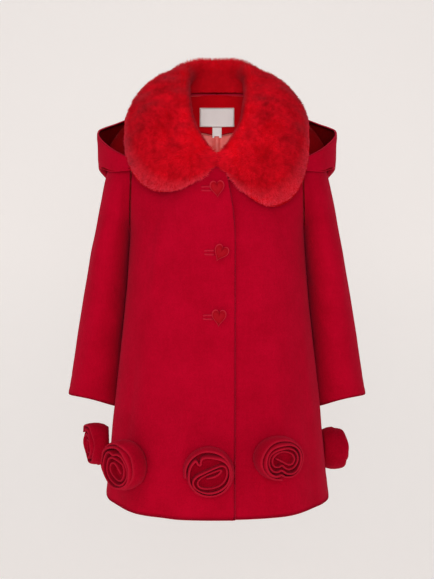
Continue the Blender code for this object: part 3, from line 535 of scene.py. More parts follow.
# Pink painted sheen for the hair tips along the collar's outer edge
FUR_RIM_SHEEN = (0.840, 0.0620, 0.1050)
CORAL = (0.900, 0.175, 0.150)
CORAL_DEEP = (0.560, 0.060, 0.055)
OFF_WHITE = (0.900, 0.880, 0.860)
OFF_WHITE_DEEP = (0.760, 0.730, 0.710)
PALE = (0.860, 0.825, 0.805)

# The camera and the studio, in metres
PICTURE_HEIGHT = 579.0
FOCAL_PIXELS = 1185.0
CAMERA_DISTANCE = 1.6
CAMERA_RISE = 5.0
AIM_Z = -0.2558
FLOOR_Z = -1250.0
WALL_Y = 2600.0
SWEEP = 900.0
AIR = 0.40
PAPER_GLOW = 0.26
Lamp = namedtuple("Lamp", "name energy width place colour")
LAMPS = (
    Lamp("front", 26.0, 0.9, (0.0, -2.5, 0.15), (1.0, 0.99, 0.98)),
    Lamp("key", 12.0, 1.6, (-1.6, -1.8, 1.1), (1.0, 0.99, 0.97)),
    Lamp("fill", 4.0, 2.0, (1.8, -2.0, 0.3), (0.98, 0.99, 1.0)),
    Lamp("crown", 6.0, 1.2, (0.2, 0.4, 1.7), (1.0, 1.0, 1.0)),
)
# A narrow spot that lights the inside of the neck
SPOT_POWER = 80.0
SPOT_DEGREES = 3.6
SPOT_RADIUS = 0.05
SPOT_PLACE = (0.0, -2.4, 0.06)
SPOT_AIM = (0.0, 0.0, -0.050)


def ease(value):
    """0 to 1, level at both ends."""
    value = min(max(value, 0.0), 1.0)
    return value * value * (3.0 - 2.0 * value)


def lerp(start, end, share):
    return start + (end - start) * share


def read(rows, at):
    """A table's row at a value of its first column, each column on a smooth curve."""
    if at <= rows[0][0]:
        return rows[0]
    if at >= rows[-1][0]:
        return rows[-1]
    last = len(rows) - 1
    low = max(i for i in range(last) if rows[i][0] <= at)
    span = rows[low + 1][0] - rows[low][0]
    f = (at - rows[low][0]) / span
    values = []
    for column in range(len(rows[0])):
        slopes = []
        for here in (low, low + 1):
            before, after = rows[max(here - 1, 0)], rows[min(here + 1, last)]
            slopes.append((after[column] - before[column]) / (after[0] - before[0]) * span)
        start, end = rows[low][column], rows[low + 1][column]
        values.append(
            start * (2 * f ** 3 - 3 * f ** 2 + 1) + slopes[0] * (f ** 3 - 2 * f ** 2 + f)
            + end * (3 * f ** 2 - 2 * f ** 3) + slopes[1] * (f ** 3 - f ** 2)
        )
    return type(rows[0])(*values)


def bezier(a, b, c, d, t):
    s = 1.0 - t
    return a * s ** 3 + b * (3 * s * s * t) + c * (3 * s * t * t) + d * t ** 3


def curve_through(points, share):
    """Point on the smooth curve through the points, which are spaced evenly along share."""
    last = len(points) - 1
    at = min(max(share, 0.0), 1.0) * last
    k = min(int(at), last - 1)
    f = at - k
    a, b = points[k], points[k + 1]
    before = points[k - 1] if k > 0 else a * 2 - b
    after = points[k + 2] if k + 2 <= last else b * 2 - a
    return (
        a * 2 + (b - before) * f + (before * 2 - a * 5 + b * 4 - after) * f ** 2
        + (a * 3 - before - b * 3 + after) * f ** 3
    ) * 0.5


def sided(row, side):
    """A table's place as a point, on the wearer's right for side -1 and left for side 1."""
    return Vector((row.x * side, row.y, row.z))


# The body's outer face

def swell(folds, turn):
    """The sum of soft bumps at an angle round the body."""
    total = 0.0
    for fold in folds:
        away = abs((turn - fold.turn + 180.0) % 360.0 - 180.0)
        total += fold.height * math.exp(-(away / fold.width) ** 2)
    return total


def body_point(turn, z):
    """Outer face below the armpits; turn is in degrees from the centre front, + to the left."""
    row = read(BODY, z)
    angle = math.radians(abs(turn))
    x = row.half_width * math.sin(angle) ** ROUND
    y = abs(math.cos(angle)) ** ROUND
    y *= -row.front if abs(turn) < 90.0 else row.back
    outward = Vector((math.copysign(x, turn), y, 0.0))
    point = outward + outward.normalized() * row.fold * swell(FOLDS, turn)
    point.z = z
    return point


def hem_height(turn):
    return HEM_Z + swell(HEM_RISES, turn)


def neck_point(share):
    """The neck seam; a share below 0 is past the centre front, on the other side."""
    row = read(NECK, abs(share))
    return Vector((math.copysign(row.x, share), row.y, row.z))


def shoulder_point(share, side):
    """The shoulder seam from the neck, 0, to the armhole, 1."""
    start = sided(read(NECK, NECK_SIDE), side)
    end = Vector((SHOULDER_X * side, SHOULDER_Y, SHOULDER_Z))
    point = lerp(start, end, share)
    point.z += SHOULDER_BOW * math.sin(math.pi * share)
    return point


def front_point(side, across, up):
    """Outer face of a front: across 0 is its edge and 1 the side seam and armhole; up 0 is the
    hem, 1 the armpits' level and 2 the neck and shoulder seams."""
    z = lerp(HEM_Z, ARMPIT_Z, min(up, 1.0))
    edge = math.degrees(math.asin((OVERLAP / read(BODY, z).half_width) ** (1.0 / ROUND)))
    turn = lerp(-edge, 90.0, across) * side
    point = body_point(turn, lerp(hem_height(turn), ARMPIT_Z, min(up, 1.0)))
    point.y = min(point.y, -SEAM_AT_BEND / 2)
    if up > 1.0:
        if across < FRONT_NECK_SHARE:
            share = lerp(-OVERLAP_AT_NECK, NECK_SIDE, across / FRONT_NECK_SHARE)
            top = neck_point(share)
            top.x *= side
        else:
            top = shoulder_point((across - FRONT_NECK_SHARE) / (1.0 - FRONT_NECK_SHARE), side)
            top.y -= SHOULDER_GAP / 2
        pull = read(FRONT_PULLS, across)
        leave = point + Vector((pull.leave_x * side, pull.leave_y, pull.leave_z))
        arrive = top + Vector((0.0, pull.arrive_y, pull.arrive_z))
        arrive.x = lerp(top.x, point.x, 0.35 * (1.0 - across))
        point = bezier(point, leave, arrive, top, up - 1.0)
    if side < 0:
        lift = OVERLAP_LIFT + YOKE_LIFT * ease(2.0 * (up - 1.0))
        point.y -= lift * ease((point.x - LIFT_START) / (LIFT_END - LIFT_START))
    return point


def back_point(across, up):
    """Outer face of the back: across runs from -1 at the right side seam to 1 at the left."""
    side = math.copysign(1.0, across)
    share = abs(across)
    turn = (180.0 - 90.0 * share) * side
    point = body_point(turn, lerp(hem_height(turn), ARMPIT_Z, min(up, 1.0)))
    point.y = max(point.y, SEAM_AT_BEND / 2)
    if up > 1.0:
        if share < BACK_NECK_SHARE - SEAM_SHARE:
            top = neck_point(lerp(1.0, NECK_SIDE, share / BACK_NECK_SHARE) * side)
        else:
            top = shoulder_point((share - BACK_NECK_SHARE) / (1.0 - BACK_NECK_SHARE), side)
            top.y += SHOULDER_GAP / 2
        pull = read(BACK_PULLS, share)
        leave = point + Vector((pull.leave_x * side, pull.leave_y, pull.leave_z))
        arrive = top + Vector((0.0, pull.arrive_y, pull.arrive_z))
        point = bezier(point, leave, arrive, top, up - 1.0)
    return point


def armhole_point(side, round_share):
    """Round the armhole: 0 at the armpit, up the front to 0.5 at the shoulder, down the back."""
    if round_share <= 0.5:
        return front_point(side, 1.0, 1.0 + 2.0 * round_share)
    return back_point(side * 1.0, 3.0 - 2.0 * round_share)


def sleeve_ring(side, z, round_share):
    """A ring of the sleeve: 0 on its inner side, 0.25 in front, 0.5 outside, 0.75 behind."""
    row = read(SLEEVE, z)
    angle = 2.0 * math.pi * round_share
    x = row.x - row.half_width * math.cos(angle)
    y = row.y - row.half_depth * math.sin(angle)
    return Vector((x * side, y, row.z - row.rise * math.cos(angle)))


def sleeve_point(side, round_share, down):
    """Outer face of a sleeve: down 0 is the armhole, 1 the cap's foot and 2 the cuff."""
    low, high = SLEEVE[0].z, SLEEVE[-1].z
    if down > 1.0:
        return sleeve_ring(side, lerp(high, low, down - 1.0), round_share)
    start = armhole_point(side, round_share) + Vector((side * SEAM_AT_BEND, 0.0, 0.0))
    end = sleeve_ring(side, high, round_share)
    angle = 2.0 * math.pi * round_share
    outer = 0.5 - 0.5 * math.cos(angle)
    fore = math.sin(angle)
    leave = start + Vector((
        side * (CAP_FOLD_REACH + CAP_TOP_REACH * outer),
        -6.0 * fore,
        -(5.0 + 5.0 * outer + 8.0 * fore * fore),
    ))
    arrive = end + Vector((-side * 13.0 * outer, -2.0 * fore, 10.0 + 52.0 * outer))
    return bezier(start, leave, arrive, end, down)


# The hood's and the collar's faces, before they are cleared of what they lie on

def hood_point(side, share, along):
    """The hood's outer face, from the neck seam, along 0, to the face edge, along 1."""
    neck = neck_point(share * side)
    outward = Vector((neck.x, neck.y, 0.0)).normalized()
    knots = [neck + outward * 1.2 + Vector((0.0, 0.0, 0.4))]
    knots += [sided(read(table, share), side) for table in (HOOD_LIE, HOOD_BOTTOM, HOOD_SIDE, HOOD_RIM)]
    return curve_through(knots, along)


def collar_point(share, along):
    """The collar's backing, from the neck seam over the roll to the outer edge of the fall."""
    side = math.copysign(1.0, share)
    place = abs(share)
    drop = read(COLLAR_PILE, place).left_drop if side > 0 else 0.0
    neck = neck_point(share) + Vector((0.0, 0.0, COLLAR_RISE))
    roll = sided(read(COLLAR_ROLL, place), side)
    fall = sided(read(COLLAR_FALL, place), side) - Vector((0.0, 0.0, 0.4 * drop))
    edge = sided(read(COLLAR_EDGE, place), side) - Vector((0.0, 0.0, drop))
    stand = lerp(neck, roll, 0.55)
    return curve_through([neck, stand, roll, lerp(roll, fall, 0.5) + Vector((0.0, 0.0, 4.0)), fall, edge], along)


def around(rows, i, j):
    """A grid's vertex, and the points halfway to each of its neighbours."""
    low_i, high_i = max(i - 1, 0), min(i + 1, len(rows) - 1)
    low_j, high_j = max(j - 1, 0), min(j + 1, len(rows[0]) - 1)
    here = rows[i][j]
    return [(here + rows[a][b]) / 2 for a in (low_i, i, high_i) for b in (low_j, j, high_j)]


def cleared(rows, tree, lift):
    """The rows, moved out to at least lift from the sheets that they lie on. A point that is past
    a sheet's edge stays."""
    for _ in range(CLEAR_PASSES):
        moves = []
        for i, row in enumerate(rows):
            for j in range(len(row)):
                move = Vector()
                for point in around(rows, i, j):
                    place, normal, _, _ = tree.find_nearest(point * MM)
                    away = (point * MM - place) / MM
                    height = away.dot(normal)
                    beside = (away - normal * height).length
                    if beside < EDGE_REACH and lift - height > move.length:
                        move = normal * (lift - height)
                moves.append((i, j, move))
        for i, j, move in moves:
            rows[i][j] = rows[i][j] + move
    return rows


def grid_normal(rows, i, j):
    """The side that a grid's faces look to when its rows and columns turn right."""
    last_i, last_j = len(rows) - 1, len(rows[0]) - 1
    down = rows[min(i + 1, last_i)][j] - rows[max(i - 1, 0)][j]
    over = rows[i][min(j + 1, last_j)] - rows[i][max(j - 1, 0)]
    return down.cross(over).normalized()


def draped(rows, tree, lift, first_column):
    """The rows, lifted off the outermost cloth that lies within reach under or over them. The
    lifts are spread over their neighbours, so that the cloth stays smooth."""
    lifts = [[0.0] * len(row) for row in rows]
    normals = [[grid_normal(rows, i, j) for j in range(len(row))] for i, row in enumerate(rows)]
    for i, row in enumerate(rows):
        for j in range(first_column, len(row)):
            for point in around(rows, i, j):
                start = point + normals[i][j] * DRAPE_REACH
                _, _, _, far = tree.ray_cast(start * MM, -normals[i][j], 2.0 * DRAPE_REACH * MM)
                if far is not None:
                    lifts[i][j] = max(lifts[i][j], DRAPE_REACH - far / MM + lift)
    for _ in range(DRAPE_PASSES):
        wide = [list(row) for row in lifts]
        for i in range(len(rows)):
            for j in range(first_column, len(rows[0])):
                near = [
                    lifts[a][b]
                    for a in range(max(i - 1, 0), min(i + 2, len(rows)))
                    for b in range(max(j - 1, first_column), min(j + 2, len(rows[0])))
                ]
                wide[i][j] = max(lifts[i][j], 0.5 * (max(near) + sum(near) / len(near)))
        lifts = wide
    for i, row in enumerate(rows):
        for j in range(first_column, len(row)):
            row[j] = row[j] + normals[i][j] * lifts[i][j]
    return rows


# Fine grids

def panel_rows(columns, point):
    """Rows of a panel from hem to shoulder, with the skirt's and the yoke's own spacing."""
    ups = [i / SKIRT_ROWS for i in range(SKIRT_ROWS)]
    ups += [yoke_up(i) for i in range(YOKE_ROWS + 1)]
    return [[point(up, j / columns) for j in range(columns + 1)] for up in ups]


def yoke_up(row):
    """How far up a row of the yoke is, from 1 to 2; the rows crowd towards the shoulder seam."""
    return 2.0 - (1.0 - row / YOKE_ROWS) ** YOKE_CROWD


def between(points, times, closed=False):
    """More points between those of an array's first axis, on smooth curves through them."""
    if closed:
        ends = np.concatenate([points[-1:], points, points[:2]])
        spans = len(points)
    else:
        ends = np.concatenate([2 * points[:1] - points[1:2], points, 2 * points[-1:] - points[-2:-1]])
        spans = len(points) - 1
    at = np.arange(spans * times + (0 if closed else 1)) / times
    low = np.minimum(at.astype(int), spans - 1)
    f = (at - low).reshape(-1, *[1] * (points.ndim - 1))
    a, b, c, d = (ends[low + k] for k in range(4))
    return 0.5 * (
        2 * b + (c - a) * f + (2 * a - 5 * b + 4 * c - d) * f ** 2
        + (3 * b - a - 3 * c + d) * f ** 3
    )


def finer(rows, along, over, closed=False):
    """A coarse grid as an array, with more rows and columns."""
    grid = between(np.array(rows, float), along)
    return between(grid.swapaxes(0, 1), over, closed).swapaxes(0, 1)


def outward(grid, closed, flip):
    """A grid's normals, on the side that its wall doesn't lie on."""
    down = np.gradient(grid, axis=0)
    over = np.roll(grid, -1, 1) - np.roll(grid, 1, 1) if closed else np.gradient(grid, axis=1)
    normal = np.cross(over, down)
    normal /= np.linalg.norm(normal, axis=2, keepdims=True) + 1e-12
    return -normal if flip else normal


def relief(u, v, creases):
    """The height of all the creases at places on the cloth."""
    total = np.zeros(np.shape(u))
    for crease in creases:
        lean = math.radians(crease.lean)
        du, dv = u - crease.u, v - crease.v
        across = du * math.cos(lean) - dv * math.sin(lean)
        along = du * math.sin(lean) + dv * math.cos(lean)
        total += crease.height * np.exp(-(across / crease.width) ** 2 - (along / crease.reach) ** 4)
    return total


def unevenness(u, v, height):
    """Slow, shallow waves that no pressed cloth is free of."""
    waves = np.sin(u / 17.0 + 1.3 * np.sin(v / 41.0)) * np.sin(v / 29.0 + 0.9 * np.sin(u / 53.0))
    return height * (waves + 0.5 * np.sin(u / 9.0 + v / 23.0) * np.sin(v / 13.0 - u / 31.0))


def moved_out(grid, closed, flip, height):
    return grid + outward(grid, closed, flip) * height[..., None]


def mesh_of(name, points, faces, looks, indices=None, smooth=True):
    """A piece from arrays: points in millimetres, and faces as lists of corners."""
    mesh = bpy.data.meshes.new(name)
    mesh.from_pydata((np.asarray(points) * MM).tolist(), [], faces)
    for look in looks:
        mesh.materials.append(look)
    if indices is not None:
        mesh.polygons.foreach_set("material_index", np.asarray(indices, np.int32))
    if smooth:
        mesh.shade_smooth()
    mesh.update()
    made = bpy.data.objects.new(name, mesh)
    bpy.context.scene.collection.objects.link(made)
    return made


def paint(piece, name, values):
    """A number at each of a piece's points, for its look to read."""
    attribute = piece.data.attributes.new(name, "FLOAT", "POINT")
    attribute.data.foreach_set("value", np.asarray(values, np.float32))


def grid_faces(index, closed, flip):
    """Quads between the rows and columns of an array of point numbers."""
    if closed:
        index = np.concatenate([index, index[:, :1]], 1)
    corners = [index[:-1, :-1], index[:-1, 1:], index[1:, 1:], index[1:, :-1]]
    if flip:
        corners.reverse()
    return np.stack([corner.ravel() for corner in corners], 1)


def unit(vectors):
    return vectors / (np.linalg.norm(vectors, axis=-1, keepdims=True) + 1e-12)


def borders(grid, closed):
    """The loops of (row, column) round a grid, and which way is off the cloth at each."""
    rows, columns = grid.shape[:2]
    down, over = unit(np.gradient(grid, axis=0)), unit(np.gradient(grid, axis=1))
    off = np.zeros(grid.shape)
    off[0] -= down[0]
    off[-1] += down[-1]
    if closed:
        return [[(i, j) for j in range(columns)] for i in (0, rows - 1)], off
    off[:, 0] -= over[:, 0]
    off[:, -1] += over[:, -1]
    loop = [(0, j) for j in range(columns)] + [(i, columns - 1) for i in range(1, rows)]
    loop += [(rows - 1, j) for j in range(columns - 2, -1, -1)]
    loop += [(i, 0) for i in range(rows - 2, 0, -1)]
    return [loop], off


def cloth(name, grid, wall, looks, closed=False, flip=False, rim_highlight=0.0):
    """A sheet with a wall and rounded edges. Its inner face has the second look, and rim_highlight is how
    pale its rounded rims are painted: a painted highlight where they catch the light."""
    wall = np.broadcast_to(wall, grid.shape[:2])[..., None]
    normal = outward(grid, closed, flip)
    loops, off = borders(grid, closed)
    face = grid - off * wall / 2
    rows, columns = grid.shape[:2]
    points = [face.reshape(-1, 3), (face - normal * wall).reshape(-1, 3)]
    index = np.arange(rows * columns).reshape(rows, columns)
    outer_faces = grid_faces(index, closed, flip)
    inner_faces = grid_faces(index + rows * columns, closed, not flip)
    count = 2 * rows * columns
    rims = []
    for which, loop in enumerate(loops):
        i, j = np.array(loop).T
        radius = wall[i, j] / 2
        middle, up, out = face[i, j] - normal[i, j] * radius, normal[i, j], unit(off[i, j])
        rings = [index[i, j]]
        for angle in (45.0, 90.0, 135.0):
            turn = math.radians(angle)
            points.append(middle + radius * (up * math.cos(turn) + out * math.sin(turn)))
            rings.append(np.arange(count, count + len(i)))
            count += len(i)
        rings.append(index[i, j] + rows * columns)
        rim = np.array(rings)
        rims.append(grid_faces(rim, True, flip == (which == 0)))
    faces = np.concatenate([outer_faces, inner_faces, *rims])
    indices = np.zeros(len(faces), int)
    indices[len(outer_faces):len(outer_faces) + len(inner_faces)] = 1
    piece = mesh_of(name, np.concatenate(points), faces.tolist(), looks, indices)
    # Only the rounded rims get the painted highlight; both faces stay at 0
    edge = np.full(count, rim_highlight)
    edge[:2 * rows * columns] = 0.0
    paint(piece, "edge", edge)
    return piece


def tree_over(sheets):
    """A search tree over open sheets, each given as its rows, closed and flip; in metres."""
    points, faces = [], []
    for rows, closed, flip in sheets:
        grid = np.array(rows, float)
        index = np.arange(grid.shape[0] * grid.shape[1]).reshape(grid.shape[:2]) + len(points)
        points += (grid.reshape(-1, 3) * MM).tolist()
        faces += grid_faces(index, closed, flip).tolist()
    return BVHTree.FromPolygons(points, faces)


def stands_for(piece, node):
    """The piece rides on the coat in place of a solid."""
    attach(piece, "root")
    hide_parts(node)
    return piece


def goes_along(piece):
    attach(piece, "root")
    return piece


# Looks

class Value:
    """A number inside a look. Sums and products of these become its Math nodes."""

    def __init__(self, look, socket):
        self.look, self.socket = look, socket

    def maths(self, operation, first, second):
        node = self.look.node("ShaderNodeMath", {"operation": operation}, {0: first, 1: second})
        return Value(self.look, node.outputs[0])

    def __add__(self, other):
        return self.maths("ADD", self, other)

    __radd__ = __add__

    def __sub__(self, other):
        return self.maths("SUBTRACT", self, other)

    def __rsub__(self, other):
        return self.maths("SUBTRACT", other, self)

    def __mul__(self, other):
        return self.maths("MULTIPLY", self, other)

    __rmul__ = __mul__

    def __pow__(self, other):
        return self.maths("POWER", self, other)


class Look:
    """A material on one Principled shader."""

    def __init__(self, name, **constants):
        self.material = bpy.data.materials.new(name)
        self.material.use_nodes = True
        self.tree = self.material.node_tree
        self.shader = self.tree.nodes["Principled BSDF"]
        self.fill(self.shader, constants)
        self.place = self.node("ShaderNodeTexCoord", {}, {}).outputs["Object"]

    def fill(self, node, sockets):
        for name, value in sockets.items():
            socket = node.inputs[name if isinstance(name, int) else name.replace("_", " ")]
            if isinstance(value, Value):
                value = value.socket
            if isinstance(value, bpy.types.NodeSocket):
                self.tree.links.new(value, socket)
            else:
                socket.default_value = value

    def node(self, kind, settings, sockets):
        made = self.tree.nodes.new(kind)
        for name, value in settings.items():
            if name == "stops":
                for stop, (position, colour) in zip(made.color_ramp.elements, value):
                    stop.position, stop.color = position, colour
            else:
                setattr(made, name, value)
        self.fill(made, sockets)
        return made

    def noise(self, scale, detail=3.0, roughness=0.5, stretch=(1.0, 1.0, 1.0), turn=(0.0, 0.0, 0.0)):
        """Noise over the object's own space; scale is in features a metre."""
        placed = self.node("ShaderNodeMapping", {}, {
            "Vector": self.place, "Scale": stretch, "Rotation": turn,
        })
        node = self.node("ShaderNodeTexNoise", {}, {
            "Vector": placed.outputs[0], "Scale": scale, "Detail": detail, "Roughness": roughness,
        })
        return Value(self, node.outputs[0])

    def bands(self, scale, direction, distortion=0.0):
        node = self.node("ShaderNodeTexWave", {"bands_direction": direction}, {
            "Vector": self.place, "Scale": scale, "Distortion": distortion,
        })
        return Value(self, node.outputs["Fac"])

    def painted(self, name):
        node = self.node("ShaderNodeAttribute", {"attribute_name": name}, {})
        return Value(self, node.outputs["Fac"])

    def mix(self, factor, first, second):
        node = self.node("ShaderNodeMix", {"data_type": "RGBA", "clamp_factor": True}, {
            0: factor, 6: first if isinstance(first, bpy.types.NodeSocket) else (*first, 1.0),
            7: second if isinstance(second, bpy.types.NodeSocket) else (*second, 1.0),
        })
        return node.outputs[2]

    def finish(self, colour, roughness, height, distance):
        """Colour and roughness over the surface, and a bump of that height in millimetres."""
        raised = self.node("ShaderNodeBump", {}, {
            "Height": height, "Distance": distance * MM, "Strength": 1.0,
        })
        self.fill(self.shader, {
            "Base Color": colour, "Roughness": roughness, "Normal": raised.outputs[0],
        })
        return self.material


def felt_look(name, deep, main, bloom=0.14):
    """Brushed wool felt: clouded colour, short fibres lying every way, a soft bloom, and painted highlight in paler
    pink.
    """
    look = Look(name, Sheen_Weight=bloom, Sheen_Roughness=0.5, Specular_IOR_Level=0.01)
    look.shader.inputs["Sheen Tint"].default_value = (1.0, 0.10, 0.20, 1.0)
    cloud = look.noise(24.0, 4.0, 0.6)
    fuzz = look.noise(520.0, 5.0, 0.75)
    fibre = look.noise(230.0, 3.0, 0.6, (1.0, 1.0, 0.22), (0.3, 0.2, 0.5))
    cross = look.noise(210.0, 3.0, 0.6, (0.22, 1.0, 1.0), (0.1, 0.5, 0.2))
    shade = cloud * 1.7 + fuzz * 1.5 + fibre * 0.55 + cross * 0.55 - 1.65
    colour = look.mix(shade, deep, main)
    # Painted highlight: the edge paint mixes in the paler pink
    colour = look.mix(look.painted("edge") * (0.5 + 0.5 * fuzz), colour, EDGE_HIGHLIGHT_PINK)
    height = fuzz * 0.8 + fibre * 0.5 + cross * 0.5
    return look.finish(colour, 0.86 + 0.12 * fuzz, height, 0.6)


def fur_look():
    """Hairs painted deeper red towards their roots and inside the stand, as painted shade in the pile, and pink at
    the tips of the outer edge as painted sheen.
    """
    look = Look("fur hairs", Sheen_Weight=0.10, Sheen_Roughness=0.45, Specular_IOR_Level=0.06)
    look.shader.inputs["Sheen Tint"].default_value = (1.0, 0.20, 0.28, 1.0)
    tuft = look.noise(42.0, 2.0, 0.5)
    lock = look.noise(170.0, 3.0, 0.6)
    tip = look.painted("tip")
    hair = look.painted("hair")
    calm = look.painted("calm")
    patches = calm * (1.3 * (tuft - 0.5) + 1.6 * (lock - 0.5))
    # Painted shade: roots darker than tips, and hairs inside the stand, where calm is low, darker still; the patches
    # are the fur's own uneven tone
    shade = 0.05 + 0.20 * calm + tip * (0.20 + 0.65 * hair) + patches
    colour = look.mix(shade, FUR_DEEP, FUR_MAIN)
    # Painted sheen: the tips of the outer edge's hairs turn pink
    rim_sheen = look.painted("rim_sheen") * tip * (0.35 + 0.65 * hair) * (0.4 + 1.2 * lock)
    colour = look.mix(rim_sheen, colour, FUR_RIM_SHEEN)
    return look.finish(colour, 0.70 + 0.2 * hair, tuft, 0.05)


def fur_core_look():
    look = Look("fur core", Specular_IOR_Level=0.02)
    tuft = look.noise(150.0, 4.0, 0.7)
    colour = look.mix(tuft, (0.44, 0.0006, 0.0035), (0.70, 0.0015, 0.0085))
    return look.finish(colour, 0.9 + 0.05 * tuft, tuft, 1.0)


def satin_look():
    look = Look("coral satin", Sheen_Weight=0.15, Sheen_Roughness=0.3, Specular_IOR_Level=0.45)
    cloud = look.noise(75.0, 3.0, 0.5)
    warp = look.bands(1300.0, "X", 0.4)
    weft = look.bands(1100.0, "Z", 0.4)
    colour = look.mix(cloud * 2.2 - 0.5 + 0.15 * warp, CORAL_DEEP, CORAL)
    return look.finish(colour, 0.38 + 0.10 * cloud, warp * 0.5 + weft * 0.5, 0.06)


def woven_look():
    look = Look("woven label", Specular_IOR_Level=0.3, Sheen_Weight=0.1)
    warp = look.bands(950.0, "X", 0.2)
    weft = look.bands(950.0, "Z", 0.2)
    cloud = look.noise(90.0, 3.0, 0.5)
    colour = look.mix(0.45 + 0.4 * cloud + 0.15 * warp * weft, OFF_WHITE_DEEP, OFF_WHITE)
    return look.finish(colour, 0.62 + 0.1 * cloud, warp * 0.5 + weft * 0.5, 0.12)


def button_look():
    """A heart covered in close velvet, with painted highlight along the crest of the rim round its padded middle."""
    look = Look("velvet heart", Sheen_Weight=0.06, Sheen_Roughness=0.35, Specular_IOR_Level=0.06)
    look.shader.inputs["Sheen Tint"].default_value = (1.0, 0.15, 0.20, 1.0)
    pile = look.noise(1100.0, 3.0, 0.65)
    cloud = look.noise(140.0, 2.0, 0.5)
    middle = look.mix(pile * 0.5 + cloud * 0.5, (0.23, 0.0004, 0.004), (0.45, 0.0010, 0.012))
    # Painted highlight: the rim paint mixes in a paler red
    colour = look.mix(look.painted("rim") * 0.7, middle, (0.56, 0.026, 0.050))
    return look.finish(colour, 0.55 + 0.2 * pile, pile * 0.6 + cloud * 0.4, 0.2)


def stage_look():
    look = Look("pale studio paper", Specular_IOR_Level=0.0, Emission_Strength=PAPER_GLOW)
    look.shader.inputs["Emission Color"].default_value = (*PALE, 1.0)
    grain = look.noise(7.0, 2.0, 0.5)
    colour = look.mix(grain, tuple(0.995 * part for part in PALE), PALE)
    return look.finish(colour, 0.95 + 0.03 * grain, grain, 0.05)


# The coat's own cloths

def front_coarse(side):
    return panel_rows(FRONT_COLUMNS, lambda up, across: front_point(side, across, up))


def back_coarse():
    return panel_rows(BACK_COLUMNS, lambda up, across: back_point(2.0 * across - 1.0, up))


def sleeve_coarse(side):
    downs = [i / CAP_ROWS for i in range(CAP_ROWS)]
    downs += [1.0 + i / SLEEVE_ROWS for i in range(SLEEVE_ROWS + 1)]
    return [
        [sleeve_point(side, j / SLEEVE_SIDES, down) for j in range(SLEEVE_SIDES)]
        for down in downs
    ]


def hood_coarse(side, tree):
    rows = [
        [
            hood_point(side, lerp(HOOD_START, 1.0, i / HOOD_STATIONS), j / HOOD_PROFILE)
            for j in range(HOOD_PROFILE + 1)
        ]
        for i in range(HOOD_STATIONS + 1)
    ]
    rows = cleared(rows, tree, HOOD_LIFT)
    for point in rows[-1]:
        point.x = side * SEAM_AT_BEND / 2
    return rows


def collar_coarse(tree):
    def point(along_neck, along):
        if along_neck <= 0.5:
            return collar_point(-lerp(COLLAR_START, 1.0, 2.0 * along_neck), along)
        return collar_point(lerp(1.0, COLLAR_START, 2.0 * along_neck - 1.0), along)
    rows = [
        [point(i / COLLAR_STATIONS, j / COLLAR_PROFILE) for j in range(COLLAR_PROFILE + 1)]
        for i in range(COLLAR_STATIONS + 1)
    ]
    for _ in range(COLLAR_DRAPES):
        rows = draped(rows, tree, HOOD_WALL + COLLAR_LIFT, COLLAR_PROFILE // 2 + 1)
    return rows


def creased_body(rows, flip, edge_column=None):
    """A body panel's fine grid with its creases; the free front edge is turned and pressed."""
    grid = finer(rows, 5, 6)
    off_seam = np.maximum(np.abs(grid[..., 1]) - SEAM_AT_BEND / 2, 0.0)
    grid[..., 1] -= np.sign(grid[..., 1]) * SEAM_CLOSE * np.exp(-off_seam / 4.0)
    x, y, z = grid[..., 0], grid[..., 1], grid[..., 2]
    u = GIRTH_PER_DEGREE * np.degrees(np.arctan2(x, -y))
    fade = np.clip((-z - 90.0) / 60.0, 0.0, 1.0)
    height = relief(u, z, BODY_CREASES) * fade + unevenness(u, z, 0.22)
    if edge_column is not None:
        off_edge = np.linalg.norm(grid - grid[:, edge_column:edge_column + 1], axis=2)
        height += 0.9 * np.exp(-((off_edge - 4.0) / 3.0) ** 2)
    off_hem = z - z[:1]
    height += 0.5 * np.exp(-((off_hem - 4.0) / 3.5) ** 2) - 0.35 * np.exp(-((off_hem - 34.0) / 4.0) ** 2)
    return moved_out(grid, False, flip, height)


def creased_sleeve(rows, flip, creases):
    """A sleeve's fine grid with its creases; its inner side hangs close against the body."""
    grid = finer(rows, 6, 4, True)
    count = grid.shape[1]
    round_share = np.broadcast_to(np.arange(count) / count, grid.shape[:2])
    u = round_share * SLEEVE_GIRTH
    z = grid[..., 2]
    inner = np.exp(-(np.minimum(round_share, 1.0 - round_share) / 0.17) ** 2)
    beside = np.interp(z, *SLEEVE_CLOSE)
    grid[..., 0] -= math.copysign(1.0, grid[..., 0].mean()) * inner * beside
    corner = np.cos(2.0 * math.pi * round_share) ** 2 * np.interp(z, CUFF_HEIGHTS, (1.0, 0.0))
    grid[..., 2] -= CUFF_CORNERS * corner
    off_cuff = np.linalg.norm(grid - grid[-1:], axis=2)
    height = relief(u, z, creases) + unevenness(u, z, 0.25)
    height += 0.5 * np.exp(-((off_cuff - 4.0) / 3.5) ** 2) - 0.3 * np.exp(-((off_cuff - 26.0) / 4.0) ** 2)
    return moved_out(grid, True, flip, height)


def creased_hood(rows, flip):
    grid = finer(rows, 6, 5)
    stations, across = grid.shape[:2]
    u = np.broadcast_to(np.linspace(0.0, HOOD_LENGTH, stations)[:, None], (stations, across))
    v = np.broadcast_to(np.linspace(0.0, HOOD_WIDTH, across)[None, :], (stations, across))
    height = relief(u, v, HOOD_CREASES) * np.clip((v - 60.0) / 40.0, 0.0, 1.0)
    height += unevenness(u, v, 0.3) * np.clip((v - 30.0) / 30.0, 0.0, 1.0)
    height += 0.6 * np.exp(-((HOOD_WIDTH - v - 6.0) / 5.0) ** 2)
    return moved_out(grid, False, flip, height)


